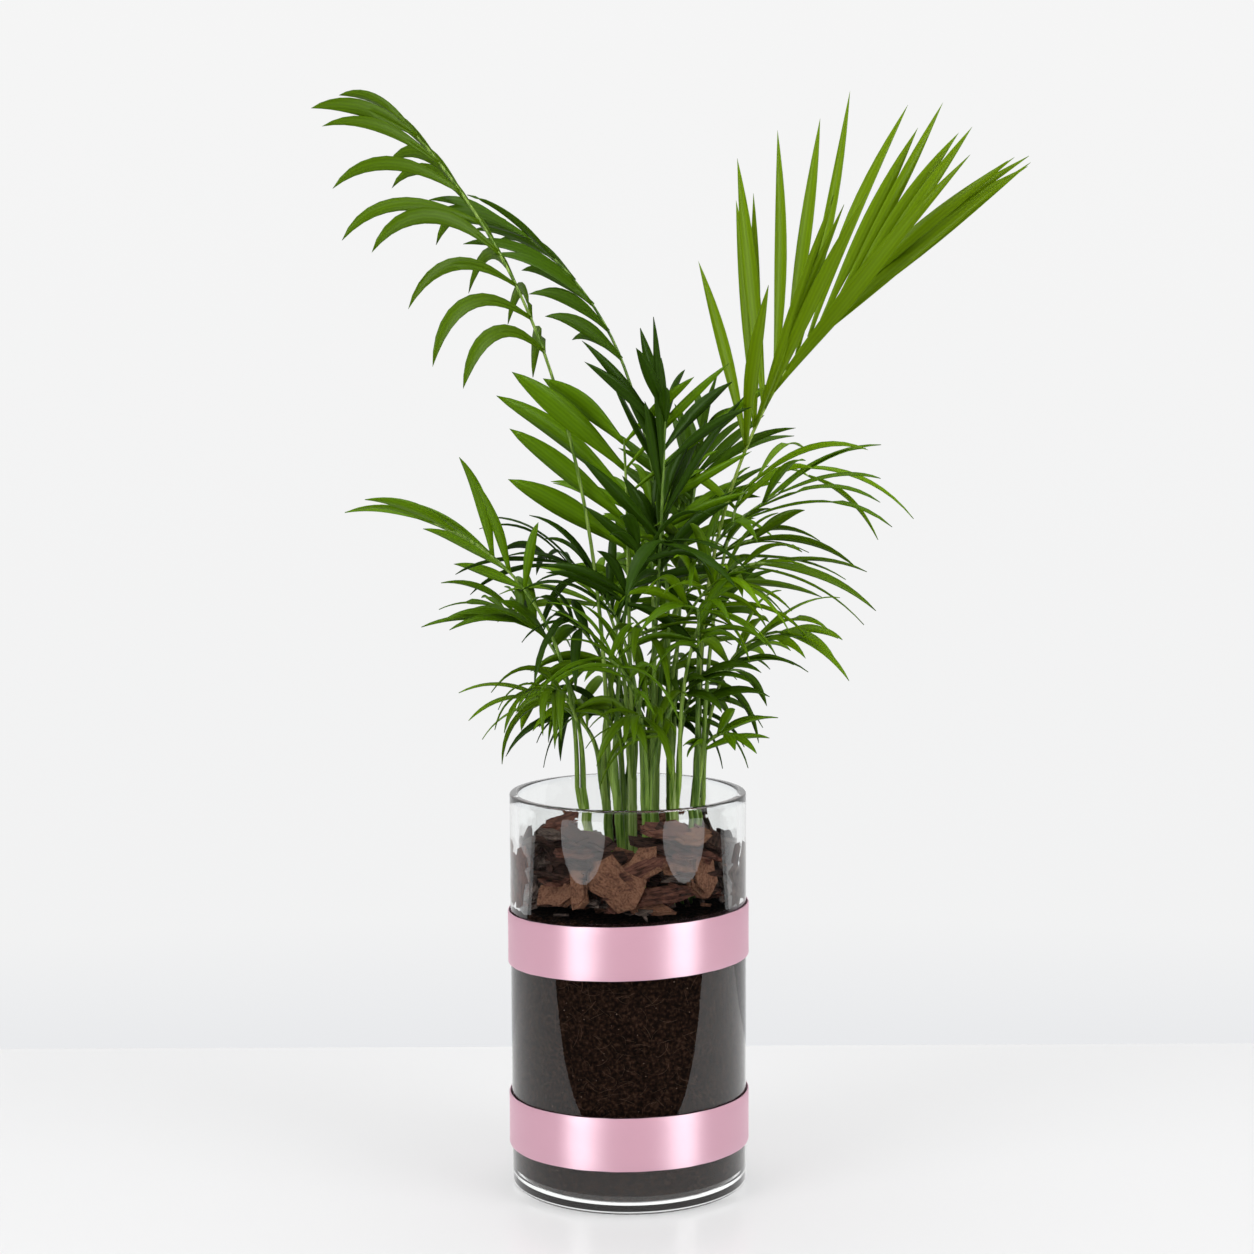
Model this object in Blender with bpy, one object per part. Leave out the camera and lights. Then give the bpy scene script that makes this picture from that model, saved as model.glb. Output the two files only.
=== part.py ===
# Parlour palm in a clear glass cylinder pot, with coir, bark mulch and two satin ribbons.
# Metres, +Z up. The origin is the centre of the pot's underside, and -Y faces the viewer.
#
# The plant is a clump of seedlings. Each seedling is a short cane that carries three fronds.
# A frond is a three-sided stalk that runs on as the rib of the blade, with leaflets drawn out
# of both sides of the rib. A leaflet that would touch anything is left out.

import math
import random
from collections import namedtuple

import bmesh
import bpy
from mathutils import Matrix, Vector
from mathutils.bvhtree import BVHTree

for old in list(bpy.data.objects):
    bpy.data.objects.remove(old, do_unlink=True)

UP = Vector((0, 0, 1))
GAP = 0.0003

# Glass pot
POT_RADIUS = 0.040
POT_HEIGHT = 0.1345
POT_WALL = 0.0029
POT_FLOOR = 0.0024
POT_FILLET = 0.0030
POT_HEEL = 0.0022
POT_LIP = 0.0007
POT_SIDES = 48

# Coir, and the bark mulch on it
COIR_TOP = 0.0965
COIR_CORNER = 0.0028
COIR_SIDES = 28
BARK_CORE_RADIUS = 0.0335
BARK_CORE_TOP = 0.1095
BARK_CORE_CROWN = 0.0030
BARK_CORE_SIDES = 18
BARK_ROOM_TOP = POT_HEIGHT - 0.006
BARK_CHIPS = 26
BARK_SEED = 11
CHIP_HALF_LENGTH = (0.009, 0.014)
CHIP_HALF_WIDTH = (0.005, 0.008)
CHIP_THICKNESS = (0.0026, 0.0040)
CANE_ROOM = 0.0006

# Satin ribbons, wound round the pot with their ends lapped at the back
RIBBON_WIDTH = 0.0178
RIBBON_THICKNESS = 0.0004
RIBBON_CLEARANCE = GAP + 0.0002
RIBBON_DIP = 0.0010
RIBBON_LAP = 22
RIBBON_STEPS = 36
RIBBONS = {"ribbon_upper": (0.0868, 1.9), "ribbon_lower": (0.0232, 0.6)}

# Canes
CANE_RADIUS = 0.0023
CANE_FLARE = 1.35
CANE_SIDES = 6
CANE_RINGS = (0.0, 0.05, 0.2, 0.6, 1.0)

# Fronds
STALK_PLACE = 0.00140
STALK_RADIUS = 0.00090
RIB_TIP_RADIUS = 0.00050
STALK_STRETCHES = 4
LINE_STEPS = 48
LEAFLET_FOOT = 0.0021
LEAFLET_STEPS = 12
LEAFLET_STATIONS = {2: (0.32, 0.66), 3: (0.24, 0.5, 0.76)}
LONG_LEAFLET = 0.050
LEAFLET_CLEARANCE = 0.00020
THICKNESS_SHARE = 0.0115
LIFTS = (0, 7, -7, 14, -14, 22, -22, 30)

# Where each cane stands on the coir, how high it goes, how it leans, and which way its
# first stalk faces. The other two stalks stand a third of a turn on.
Cane = namedtuple("Cane", "x y top lean heading face")
CANES = [
    Cane(-0.0095, -0.0020, 0.136, 9.0, 185, 70),
    Cane(-0.0050, 0.0060, 0.142, 5.0, 150, 150),
    Cane(-0.0005, -0.0065, 0.148, 5.0, 180, 180),
    Cane(0.0015, 0.0020, 0.152, 0.5, 90, 270),
    Cane(0.0060, -0.0105, 0.138, 2.0, 280, 270),
    Cane(0.0085, -0.0020, 0.156, 1.0, 20, 340),
    Cane(0.0135, -0.0075, 0.142, 4.0, 340, 310),
    Cane(0.0145, 0.0035, 0.158, 1.0, 90, 140),
    Cane(0.0195, -0.0030, 0.150, 5.0, 0, 0),
    Cane(0.0210, 0.0055, 0.131, 6.0, 10, 340),
    Cane(0.0075, 0.0085, 0.150, 3.0, 95, 90),
    Cane(-0.0005, 0.0125, 0.138, 3.0, 110, 130),
]

# A frond's sizes. Lean is the angle from the vertical at the foot, the neck and the tip, and
# turn is how far the heading swings on the way. Spread is the angle from the rib to its
# leaflets at the neck and at the tip, and vee lifts both rows of them.
Frond = namedtuple(
    "Frond",
    "name cane place heading stalk blade lean turn roll pairs leaf width spread vee droop tint",
)
MAIN_FRONDS = [
    Frond("frond_tall_left", 2, 0, 180, 0.1326, 0.0935, (2, 19, 44), -1, -20,
          8, 0.054, 0.0052, (56, 24), (-15, -35), (2.8, 0.7), "mid"),
    Frond("frond_tall_right", 8, 1, 8, 0.0977, 0.0847, (1, 22, 51), -2, 12,
          6, 0.092, 0.0066, (42, 17), (38, 0), (0.0, 0.1), "bright"),
    Frond("frond_second_left", 7, 0, 165, 0.1203, 0.0714, (-2, 21, 64), 11, 0,
          7, 0.042, 0.0046, (42, 24), (-25, -10), (0.8, 0.5), "dark"),
    Frond("frond_centre_left", 3, 0, 260, 0.0625, 0.0442, (7, 3, 15), -3, 0,
          5, 0.056, 0.0074, (54, 40), (5, 5), (0.15, 0.15), "mid"),
    Frond("frond_low_left", 0, 1, 191, 0.0686, 0.0460, (0, 36, 75), -2, 25,
          6, 0.044, 0.0048, (56, 20), (12, 5), (0.3, 0.5), "mid"),
    Frond("frond_lower_left", 0, 0, 145, 0.0472, 0.0291, (0, 36, 86), 5, 0,
          6, 0.032, 0.0042, (60, 26), (10, 5), (0.6, 0.5), "dark"),
    Frond("frond_hanging_left", 0, 2, 240, 0.0225, 0.0300, (0, 24, 95), -6, 0,
          5, 0.031, 0.0036, (60, 30), (0, 0), (2.2, 1.8), "mid"),
    Frond("frond_arching_right", 5, 0, 335, 0.0575, 0.0423, (0, 37, 66), 3, 10,
          7, 0.044, 0.0044, (55, 24), (15, 5), (0.8, 0.6), "dark"),
    Frond("frond_high_right", 8, 0, 22, 0.0786, 0.0417, (3, 17, 139), 7, 0,
          6, 0.044, 0.0040, (55, 24), (5, 5), (0.8, 0.9), "mid"),
    Frond("frond_level_right", 6, 0, 318, 0.0629, 0.0270, (0, 33, 102), 15, 0,
          6, 0.040, 0.0044, (58, 26), (15, 5), (0.6, 0.4), "mid"),
    Frond("frond_lower_right", 9, 0, 344, 0.0457, 0.0300, (0, 27, 106), 9, 0,
          6, 0.035, 0.0040, (58, 26), (10, 5), (1.0, 0.6), "mid"),
    Frond("frond_bottom_right", 9, 2, 300, 0.0160, 0.0180, (0, 29, 97), 12, 0,
          5, 0.023, 0.0032, (50, 28), (10, 5), (0.7, 0.5), "mid"),
    Frond("frond_centre_dark", 5, 2, 280, 0.0519, 0.0623, (9, 17, 4), 3, 30,
          7, 0.044, 0.0064, (44, 24), (10, 5), (0.2, 0.2), "dark"),
    Frond("frond_centre_back", 7, 2, 77, 0.0627, 0.0442, (11, 27, 17), -14, 0,
          6, 0.042, 0.0050, (50, 24), (10, 5), (0.3, 0.3), "dark"),
]

# The other fronds, by rule: they take the free places on the canes, in three storeys. Each
# is drawn anew until its rib is clear of the others.
FILL_SEED = 58
FILL_TRIES = 40
Storey = namedtuple("Storey", "stalk blade foot neck tip leaf droop")
STOREYS = [
    Storey((0.008, 0.018), (0.024, 0.032), (3, 9), (30, 52), (90, 125), (0.026, 0.031), (1.0, 2.0)),
    Storey((0.026, 0.038), (0.028, 0.038), (2, 8), (20, 42), (70, 112), (0.030, 0.037), (0.7, 1.6)),
    Storey((0.046, 0.060), (0.032, 0.044), (1, 6), (10, 28), (45, 90), (0.034, 0.042), (0.4, 1.0)),
]
FILL_PAIRS = 7
FILL_WIDTH = (0.0036, 0.0045)


def direction(heading, lean):
    """The unit vector at this heading and this angle from the vertical, in degrees."""
    h, tilt = math.radians(heading), math.radians(lean)
    return Vector((math.sin(tilt) * math.cos(h), math.sin(tilt) * math.sin(h), math.cos(tilt)))


def cane_ends(cane):
    """The cane's foot and its top, where the fronds leave it."""
    foot = Vector((cane.x, cane.y, COIR_TOP + GAP))
    way = direction(cane.heading, cane.lean)
    return foot, foot + way * ((cane.top - foot.z) / way.z)


def frond_line(frond):
    """The midline as (distance, point, heading, lean), from the foot of the stalk to the tip."""
    cane = CANES[frond.cane]
    point = cane_ends(cane)[1] + UP * GAP + direction(cane.face + 120 * frond.place, 90) * STALK_PLACE
    length = frond.stalk + frond.blade
    foot, neck, tip = frond.lean
    line = []
    for step in range(LINE_STEPS + 1):
        gone = length * step / LINE_STEPS
        if gone < frond.stalk:
            lean = foot + (neck - foot) * (gone / frond.stalk) ** 1.5
        else:
            lean = neck + (tip - neck) * (gone - frond.stalk) / frond.blade
        heading = frond.heading + frond.turn * (gone / length) ** 1.5
        line.append((gone, point.copy(), heading, lean))
        point += direction(heading, lean) * (length / LINE_STEPS)
    return line


def frame_at(frond, line, gone):
    """(point, along, side, normal) of the midline at this distance."""
    share = min(gone / line[-1][0], 1) * LINE_STEPS
    low = min(int(share), LINE_STEPS - 1)
    part = share - low
    _, p, h, tilt = line[low]
    _, q, h2, tilt2 = line[low + 1]
    heading = h + (h2 - h) * part
    along = direction(heading, tilt + (tilt2 - tilt) * part)
    side = Matrix.Rotation(math.radians(frond.roll), 3, along) @ direction(heading + 90, 90)
    return p.lerp(q, part), along, side, along.cross(side)


def node_distance(frond, k):
    """How far along the midline pair k of the leaflets springs."""
    return frond.stalk + frond.blade * (k + 0.3) / frond.pairs


def rib_rings(frond, line):
    """The corners of the three-sided rings up the stalk and along the rib."""
    start = node_distance(frond, 0) - LEAFLET_FOOT / 2
    places = [start * i / STALK_STRETCHES for i in range(STALK_STRETCHES)]
    for k in range(frond.pairs):
        middle = node_distance(frond, k)
        places += [middle - LEAFLET_FOOT / 2, middle + LEAFLET_FOOT / 2]
    rings = []
    for gone in places:
        point, _, side, normal = frame_at(frond, line, gone)
        radius = STALK_RADIUS + (RIB_TIP_RADIUS - STALK_RADIUS) * gone / line[-1][0]
        crown = point + normal * radius * 0.6
        rings.append([crown - side * radius, point - normal * radius, crown + side * radius])
    return rings


def leaflet_line(frond, line, k, sign, lift):
    """A leaflet's midline as (point, along, forward, face), sagging under its own weight."""
    t = k / (frond.pairs - 1)
    length = frond.leaf * (0.55 + 0.45 * math.sin(math.pi * (0.2 + 0.72 * t)))
    point, rib, side, normal = frame_at(frond, line, node_distance(frond, k))
    vee = math.radians(frond.vee[0] + (frond.vee[1] - frond.vee[0]) * t + lift)
    out = side * (sign * math.cos(vee)) + normal * math.sin(vee)
    angle = math.radians(frond.spread[0] + (frond.spread[1] - frond.spread[0]) * t ** 0.6)
    droop = frond.droop[0] + (frond.droop[1] - frond.droop[0]) * t
    along = rib * math.cos(angle) + out * math.sin(angle)
    face = rib.cross(out) * sign
    made = []
    for step in range(LEAFLET_STEPS + 1):
        face = (face - along * face.dot(along)).normalized()
        made.append((point.copy(), along.copy(), along.cross(face) * sign, face.copy()))
        point += along * (length / LEAFLET_STEPS)
        along = (along - UP * (droop * 2 * (step + 1) / LEAFLET_STEPS ** 2)).normalized()
    return made, length


def leaflet_form(frond, line, rings, k, sign, lift):
    """The cross-sections of a leaflet from its foot on the rib, and its tip."""
    course, length = leaflet_line(frond, line, k, sign, lift)
    back, front = rings[STALK_STRETCHES + 2 * k], rings[STALK_STRETCHES + 2 * k + 1]
    top = 2 if sign > 0 else 0
    sections = [[back[1], front[1], front[top], back[top]]]
    for u in LEAFLET_STATIONS[3 if frond.leaf > LONG_LEAFLET else 2]:
        point, _, forward, face = course[round(u * LEAFLET_STEPS)]
        half = forward * (frond.width * (1.0 if u < 0.6 else 0.8) / 2)
        thick = face * (length * THICKNESS_SHARE / 2)
        sections.append(
            [point - half - thick, point + half - thick, point + half + thick, point - half + thick]
        )
    return sections, course[-1][0]


def search_tree(sections, tip=None, grow=0.0):
    """The form through these sections, swollen a little, as a box and a tree to test with."""
    count = len(sections[0])
    points = []
    for ring in sections:
        middle = sum(ring, Vector()) / count
        points += [p + (p - middle).normalized() * grow * 1.4 for p in ring]
    last = len(points) - count
    faces = [list(range(count))]
    for low in range(0, last, count):
        for i in range(count):
            j = (i + 1) % count
            faces.append([low + i, low + j, low + count + j, low + count + i])
    if tip is None:
        faces.append([last + i for i in range(count)])
    else:
        points.append(tip + (tip - points[last]).normalized() * grow)
        faces += [[last + i, last + (i + 1) % count, last + count] for i in range(count)]
    low = Vector([min(p[axis] for p in points) for axis in range(3)])
    high = Vector([max(p[axis] for p in points) for axis in range(3)])
    return low, high, BVHTree.FromPolygons(points, faces, epsilon=0.0)


def touches(form, placed):
    """Whether the form meets any of those placed."""
    low, high, tree = form
    for low2, high2, other in placed:
        apart = any(low[i] > high2[i] or high[i] < low2[i] for i in range(3))
        if not apart and tree.overlap(other):
            return True
    return False


def mesh_object(name, bm, look, smooth=False):
    """The finished object of a mesh, with its own material."""
    bmesh.ops.recalc_face_normals(bm, faces=bm.faces)
    mesh = bpy.data.meshes.new(name)
    bm.to_mesh(mesh)
    bm.free()
    colour, roughness, alpha = look
    material = bpy.data.materials.new(name)
    material.use_nodes = True
    shader = material.node_tree.nodes["Principled BSDF"]
    shader.inputs["Base Color"].default_value = (*colour, 1)
    shader.inputs["Roughness"].default_value = roughness
    shader.inputs["Metallic"].default_value = 0.0
    shader.inputs["Alpha"].default_value = alpha
    material.diffuse_color = (*colour, alpha)
    mesh.materials.append(material)
    for polygon in mesh.polygons:
        polygon.use_smooth = smooth
    made = bpy.data.objects.new(name, mesh)
    bpy.context.scene.collection.objects.link(made)
    return made


def draw_out(bm, face, corners, first=False):
    """Extrudes a face to these corners. Gives the new end and the wall on each of its edges."""
    base = list(face.verts)
    if first:
        made = bmesh.ops.extrude_face_region(bm, geom=[face])["geom"]
        end = next(part for part in made if isinstance(part, bmesh.types.BMFace))
    else:
        end = bmesh.ops.extrude_discrete_faces(bm, faces=[face])["faces"][0]
    for vert, corner in zip(end.verts, corners):
        vert.co = corner
    walls = []
    for i, vert in enumerate(base):
        edge = bm.edges.get((vert, base[(i + 1) % len(base)]))
        walls.append(next(f for f in edge.link_faces if end.verts[i] in f.verts))
    return end, walls


def tube(bm, rings):
    """A closed tube through the rings. Gives the walls of each stretch."""
    bmesh.ops.create_circle(bm, cap_ends=True, radius=1.0, segments=len(rings[0]))
    end = bm.faces[:][-1]
    for vert, corner in zip(end.verts, rings[0]):
        vert.co = corner
    stretches = []
    for i, ring in enumerate(rings[1:]):
        end, walls = draw_out(bm, end, ring, first=i == 0)
        stretches.append(walls)
    return stretches


def draw_leaflet(bm, wall, sections, tip):
    """Draws a leaflet out of the wall that its first section lies on."""
    foot = sections[0]
    order = [min(range(4), key=lambda i: (vert.co - foot[i]).length) for vert in wall.verts]
    for section in sections[1:]:
        wall, _ = draw_out(bm, wall, [section[i] for i in order])
    end, _ = draw_out(bm, wall, [tip] * 4)
    bmesh.ops.pointmerge(bm, verts=list(end.verts), merge_co=tip)


def spun(name, profile, sides, look):
    """A solid turned from a closed profile of (radius, height) that may start on the axis."""
    bm = bmesh.new()
    verts = [bm.verts.new((r, 0, z)) for r, z in profile]
    edges = [bm.edges.new(pair) for pair in zip(verts, verts[1:])]
    bmesh.ops.spin(
        bm, geom=verts + edges, axis=UP, cent=(0, 0, 0), angle=math.tau, steps=sides, use_merge=True
    )
    bmesh.ops.remove_doubles(bm, verts=bm.verts, dist=0.00002)
    return mesh_object(name, bm, look, smooth=True)


def combine(target, operation, others):
    """Joins the other objects to the target, or takes them from it, and removes them."""
    group = bpy.data.collections.new("group")
    bpy.context.scene.collection.children.link(group)
    for other in others:
        group.objects.link(other)
    modifier = target.modifiers.new(operation.lower(), "BOOLEAN")
    modifier.operation = operation
    modifier.operand_type = "COLLECTION"
    modifier.collection = group
    modifier.solver = "EXACT"
    shape = target.evaluated_get(bpy.context.evaluated_depsgraph_get())
    mesh = bpy.data.meshes.new_from_object(shape)
    target.modifiers.clear()
    target.data = mesh
    for other in others:
        bpy.data.objects.remove(other, do_unlink=True)
    bpy.data.collections.remove(group)


# The pot: a plain cylinder of clear glass with a thin floor and a rounded heel and lip.
heel = [
    (POT_RADIUS - POT_HEEL * (1 - math.sin(a)), POT_HEEL * (1 - math.cos(a)))
    for a in (0, math.pi / 6, math.pi / 3, math.pi / 2)
]
inner = POT_RADIUS - POT_WALL
spun(
    "vase",
    [(0, 0)] + heel + [
        (POT_RADIUS, POT_HEIGHT - POT_LIP), (POT_RADIUS - POT_LIP, POT_HEIGHT),
        (inner + POT_LIP, POT_HEIGHT), (inner, POT_HEIGHT - POT_LIP),
        (inner, POT_FLOOR + POT_FILLET), (inner - POT_FILLET, POT_FLOOR), (0, POT_FLOOR),
    ],
    POT_SIDES,
    ((0.86, 0.89, 0.89), 0.03, 0.35),
)

# The coir fills the pot to just above the upper ribbon.
coir_radius = inner - 0.0004
spun(
    "soil",
    [
        (0, POT_FLOOR + GAP), (coir_radius - COIR_CORNER, POT_FLOOR + GAP),
        (coir_radius, POT_FLOOR + GAP + COIR_CORNER),
        (coir_radius, COIR_TOP), (0, COIR_TOP),
    ],
    COIR_SIDES,
    ((0.045, 0.028, 0.020), 0.95, 1.0),
)


def keep_largest(target):
    """Drops the scraps that hang on nothing."""
    bm = bmesh.new()
    bm.from_mesh(target.data)
    left, bodies = set(bm.verts), []
    while left:
        body, edge = set(), [left.pop()]
        while edge:
            vert = edge.pop()
            body.add(vert)
            edge += [v for e in vert.link_edges for v in e.verts if v in left]
            left -= set(edge)
        bodies.append(body)
    biggest = max(bodies, key=len)
    bmesh.ops.delete(bm, geom=[v for v in bm.verts if v not in biggest], context="VERTS")
    bm.to_mesh(target.data)
    bm.free()


def bark_chip(rng, index):
    """One split chip of bark: an uneven flat flake that lies tilted in the bed."""
    bm = bmesh.new()
    bmesh.ops.create_circle(bm, cap_ends=True, radius=1.0, segments=6)
    length, width, thick = (
        rng.uniform(*sizes) for sizes in (CHIP_HALF_LENGTH, CHIP_HALF_WIDTH, CHIP_THICKNESS)
    )
    for vert in bm.verts:
        stretch = rng.uniform(0.75, 1.1)
        vert.co = Vector((vert.co.x * length * stretch, vert.co.y * width * stretch, 0))
    flat = bm.faces[:][-1]
    draw_out(bm, flat, [v.co + UP * thick for v in flat.verts], first=True)
    azimuth = 137.5 * index + rng.uniform(-15, 15)
    outer = index % 2
    reach = rng.uniform(0.027, 0.032) if outer else rng.uniform(0.013, 0.026)
    height = rng.uniform(0.1035, 0.1200) if outer else rng.uniform(0.1075, 0.1135)
    tilt = rng.uniform(25, 70) if outer else rng.uniform(-22, 22)
    turn = (
        Matrix.Rotation(math.radians(azimuth), 4, "Z")
        @ Matrix.Translation((reach, 0, height))
        @ Matrix.Rotation(math.radians(-tilt), 4, "Y")
        @ Matrix.Rotation(math.radians(rng.uniform(50, 130)), 4, "Z")
    )
    bmesh.ops.transform(bm, matrix=turn, verts=bm.verts)
    return mesh_object("chip", bm, ((0.2, 0.1, 0.06), 0.9, 1.0))


def cane_rings(cane, sides, spare=0.0):
    """The rings of a cane from its flared foot to its flat top."""
    foot, top = cane_ends(cane)
    rings = []
    for share in CANE_RINGS:
        radius = CANE_RADIUS * (1 + (CANE_FLARE - 1) * (1 - share) ** 6 + 0.08 * (1 - share)) + spare
        centre = foot.lerp(top, share)
        rings.append([centre + direction(360 / sides * i, 90) * radius for i in range(sides)])
    return rings


# The bark bed: chips in a loose ring, lying on one another, round holes for the canes.
bark = spun(
    "bark_bed",
    [
        (0, COIR_TOP + GAP), (BARK_CORE_RADIUS, COIR_TOP + GAP), (BARK_CORE_RADIUS, BARK_CORE_TOP),
        (BARK_CORE_RADIUS / 2, BARK_CORE_TOP + BARK_CORE_CROWN), (0, BARK_CORE_TOP + BARK_CORE_CROWN),
    ],
    BARK_CORE_SIDES,
    ((0.20, 0.095, 0.060), 0.9, 1.0),
)
chip_rng = random.Random(BARK_SEED)
combine(bark, "UNION", [bark_chip(chip_rng, i) for i in range(BARK_CHIPS)])
room = spun(
    "room",
    [
        (0, COIR_TOP + GAP), (coir_radius, COIR_TOP + GAP),
        (coir_radius, BARK_ROOM_TOP), (0, BARK_ROOM_TOP),
    ],
    COIR_SIDES,
    ((0.2, 0.1, 0.06), 0.9, 1.0),
)
combine(bark, "INTERSECT", [room])
holes = []
for cane in CANES:
    hole = bmesh.new()
    rings = cane_rings(cane, CANE_SIDES, spare=CANE_ROOM)
    tube(hole, [[p - UP * 0.004 for p in rings[0]]] + rings + [[p + UP * 0.004 for p in rings[-1]]])
    holes.append(mesh_object("hole", hole, ((0.2, 0.1, 0.06), 0.9, 1.0)))
combine(bark, "DIFFERENCE", holes)
keep_largest(bark)

# The ribbons: a flat band wound once round the glass, one end lapped over the other.
for name, (height, tilt) in RIBBONS.items():
    band = bmesh.new()
    rings = []
    for step in range(RIBBON_STEPS + 3):
        share = step / (RIBBON_STEPS + 2)
        angle = math.radians(90 - RIBBON_LAP / 2 + (360 + RIBBON_LAP) * share)
        rise = max(0, share * (360 + RIBBON_LAP) - (360 - RIBBON_LAP)) / RIBBON_LAP
        radius = POT_RADIUS + RIBBON_CLEARANCE + (RIBBON_THICKNESS + GAP) * min(rise, 1)
        way = Vector((math.cos(angle), math.sin(angle), 0))
        slope = way.x * POT_RADIUS * math.tan(math.radians(tilt))
        dip = -RIBBON_DIP * way.y
        ring = []
        for side, outer in ((-1, 0), (-1, 1), (1, 1), (1, 0)):
            ring.append(way * (radius + RIBBON_THICKNESS * outer)
                        + UP * (height + slope + dip + side * RIBBON_WIDTH / 2))
        rings.append(ring)
    tube(band, rings)
    mesh_object(name, band, ((0.88, 0.50, 0.60), 0.35, 1.0), smooth=True)

# The canes, from a flat cut on the coir to the crown of sheaths where the stalks part.
placed = []
for index, cane in enumerate(CANES):
    rings = cane_rings(cane, CANE_SIDES)
    placed.append(search_tree(rings, grow=LEAFLET_CLEARANCE))
    body = bmesh.new()
    tube(body, rings)
    mesh_object("stem_%02d" % (index + 1), body, ((0.33, 0.46, 0.17), 0.5, 1.0), smooth=True)

# Nothing may touch the glass or the bark.
for name in ("vase", "bark_bed"):
    solid = bmesh.new()
    solid.from_mesh(bpy.data.objects[name].data)
    low = Vector([min(v.co[axis] for v in solid.verts) for axis in range(3)])
    high = Vector([max(v.co[axis] for v in solid.verts) for axis in range(3)])
    placed.append((low, high, BVHTree.FromBMesh(solid, epsilon=0.0)))
    solid.free()

# The stalks and ribs take their room first, then the leaflets.
fronds = []
for frond in MAIN_FRONDS:
    line = frond_line(frond)
    rings = rib_rings(frond, line)
    form = search_tree(rings, grow=LEAFLET_CLEARANCE)
    placed.append(form)
    fronds.append((frond, line, rings, form))


def fill_frond(number, cane, place, attempt):
    """One of the other fronds, as the rule gives it at this attempt."""
    pick = random.Random(FILL_SEED + 1000 * number + attempt).uniform
    storey = STOREYS[number % len(STOREYS)]
    return Frond(
        "frond_%02d" % (number + 1), cane, place, CANES[cane].face + 120 * place + pick(-40, 40),
        pick(*storey.stalk), pick(*storey.blade),
        (pick(*storey.foot), pick(*storey.neck), pick(*storey.tip)),
        pick(-20, 20), pick(-12, 12), FILL_PAIRS, pick(*storey.leaf), pick(*FILL_WIDTH),
        (pick(50, 62), pick(24, 30)), (pick(0, 16), 5), (pick(*storey.droop), 0.7),
        "dark" if number % 2 else "mid",
    )


taken = {(frond.cane, frond.place) for frond in MAIN_FRONDS}
free = [(cane, place) for place in range(3) for cane in range(len(CANES)) if (cane, place) not in taken]
for number, (cane, place) in enumerate(free):
    for attempt in range(FILL_TRIES):
        frond = fill_frond(number, cane, place, attempt)
        line = frond_line(frond)
        rings = rib_rings(frond, line)
        rib = search_tree(rings, grow=LEAFLET_CLEARANCE)
        if not touches(rib, placed):
            placed.append(rib)
            fronds.append((frond, line, rings, rib))
            break

# The leaflets grow pair by pair: first on the main fronds, then on all the others in turn.
# One that finds no room flat tries a little above or below, or is left out.
main = len(MAIN_FRONDS)
order = [(i, k) for i in range(main) for k in range(fronds[i][0].pairs)]
order += [(i, k) for k in range(FILL_PAIRS) for i in range(main, len(fronds))]
leaflets = [{} for _ in fronds]
whole_forms = [[] for _ in fronds]
outer_forms = [[] for _ in fronds]
for i, k in order:
    frond, line, rings, rib = fronds[i]
    strange = [form for form in placed if form is not rib]
    strange += [form for other, forms in enumerate(whole_forms) if other != i for form in forms]
    for sign in (-1, 1):
        for lift in LIFTS:
            sections, tip = leaflet_form(frond, line, rings, k, sign, lift)
            foot, near = sections[0], sections[1]
            whole, clear, outer = (
                search_tree([[a.lerp(b, share) for a, b in zip(foot, near)]] + sections[1:], tip,
                            LEAFLET_CLEARANCE)
                for share in (0.06, 0.25, 0.6)
            )
            if not (touches(whole, strange) or touches(clear, outer_forms[i]) or touches(outer, [rib])):
                whole_forms[i].append(whole)
                outer_forms[i].append(clear)
                leaflets[i][k, sign] = (sections, tip)
                break

TINTS = {"mid": (0.075, 0.22, 0.035), "dark": (0.030, 0.12, 0.028), "bright": (0.17, 0.36, 0.045)}
for (frond, line, rings, _), grown in zip(fronds, leaflets):
    blade = bmesh.new()
    stretches = tube(blade, rings)
    for k in range(frond.pairs):
        walls = stretches[STALK_STRETCHES + 2 * k]
        for sign in (-1, 1):
            if (k, sign) in grown:
                draw_leaflet(blade, walls[1 if sign > 0 else 0], *grown[k, sign])
    mesh_object(frond.name, blade, (TINTS[frond.tint], 0.45, 1.0))
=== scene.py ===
import math
import random
from collections import namedtuple

import bmesh
import bpy
from mathutils import Matrix, Vector, noise
from mathutils.kdtree import KDTree


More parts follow.
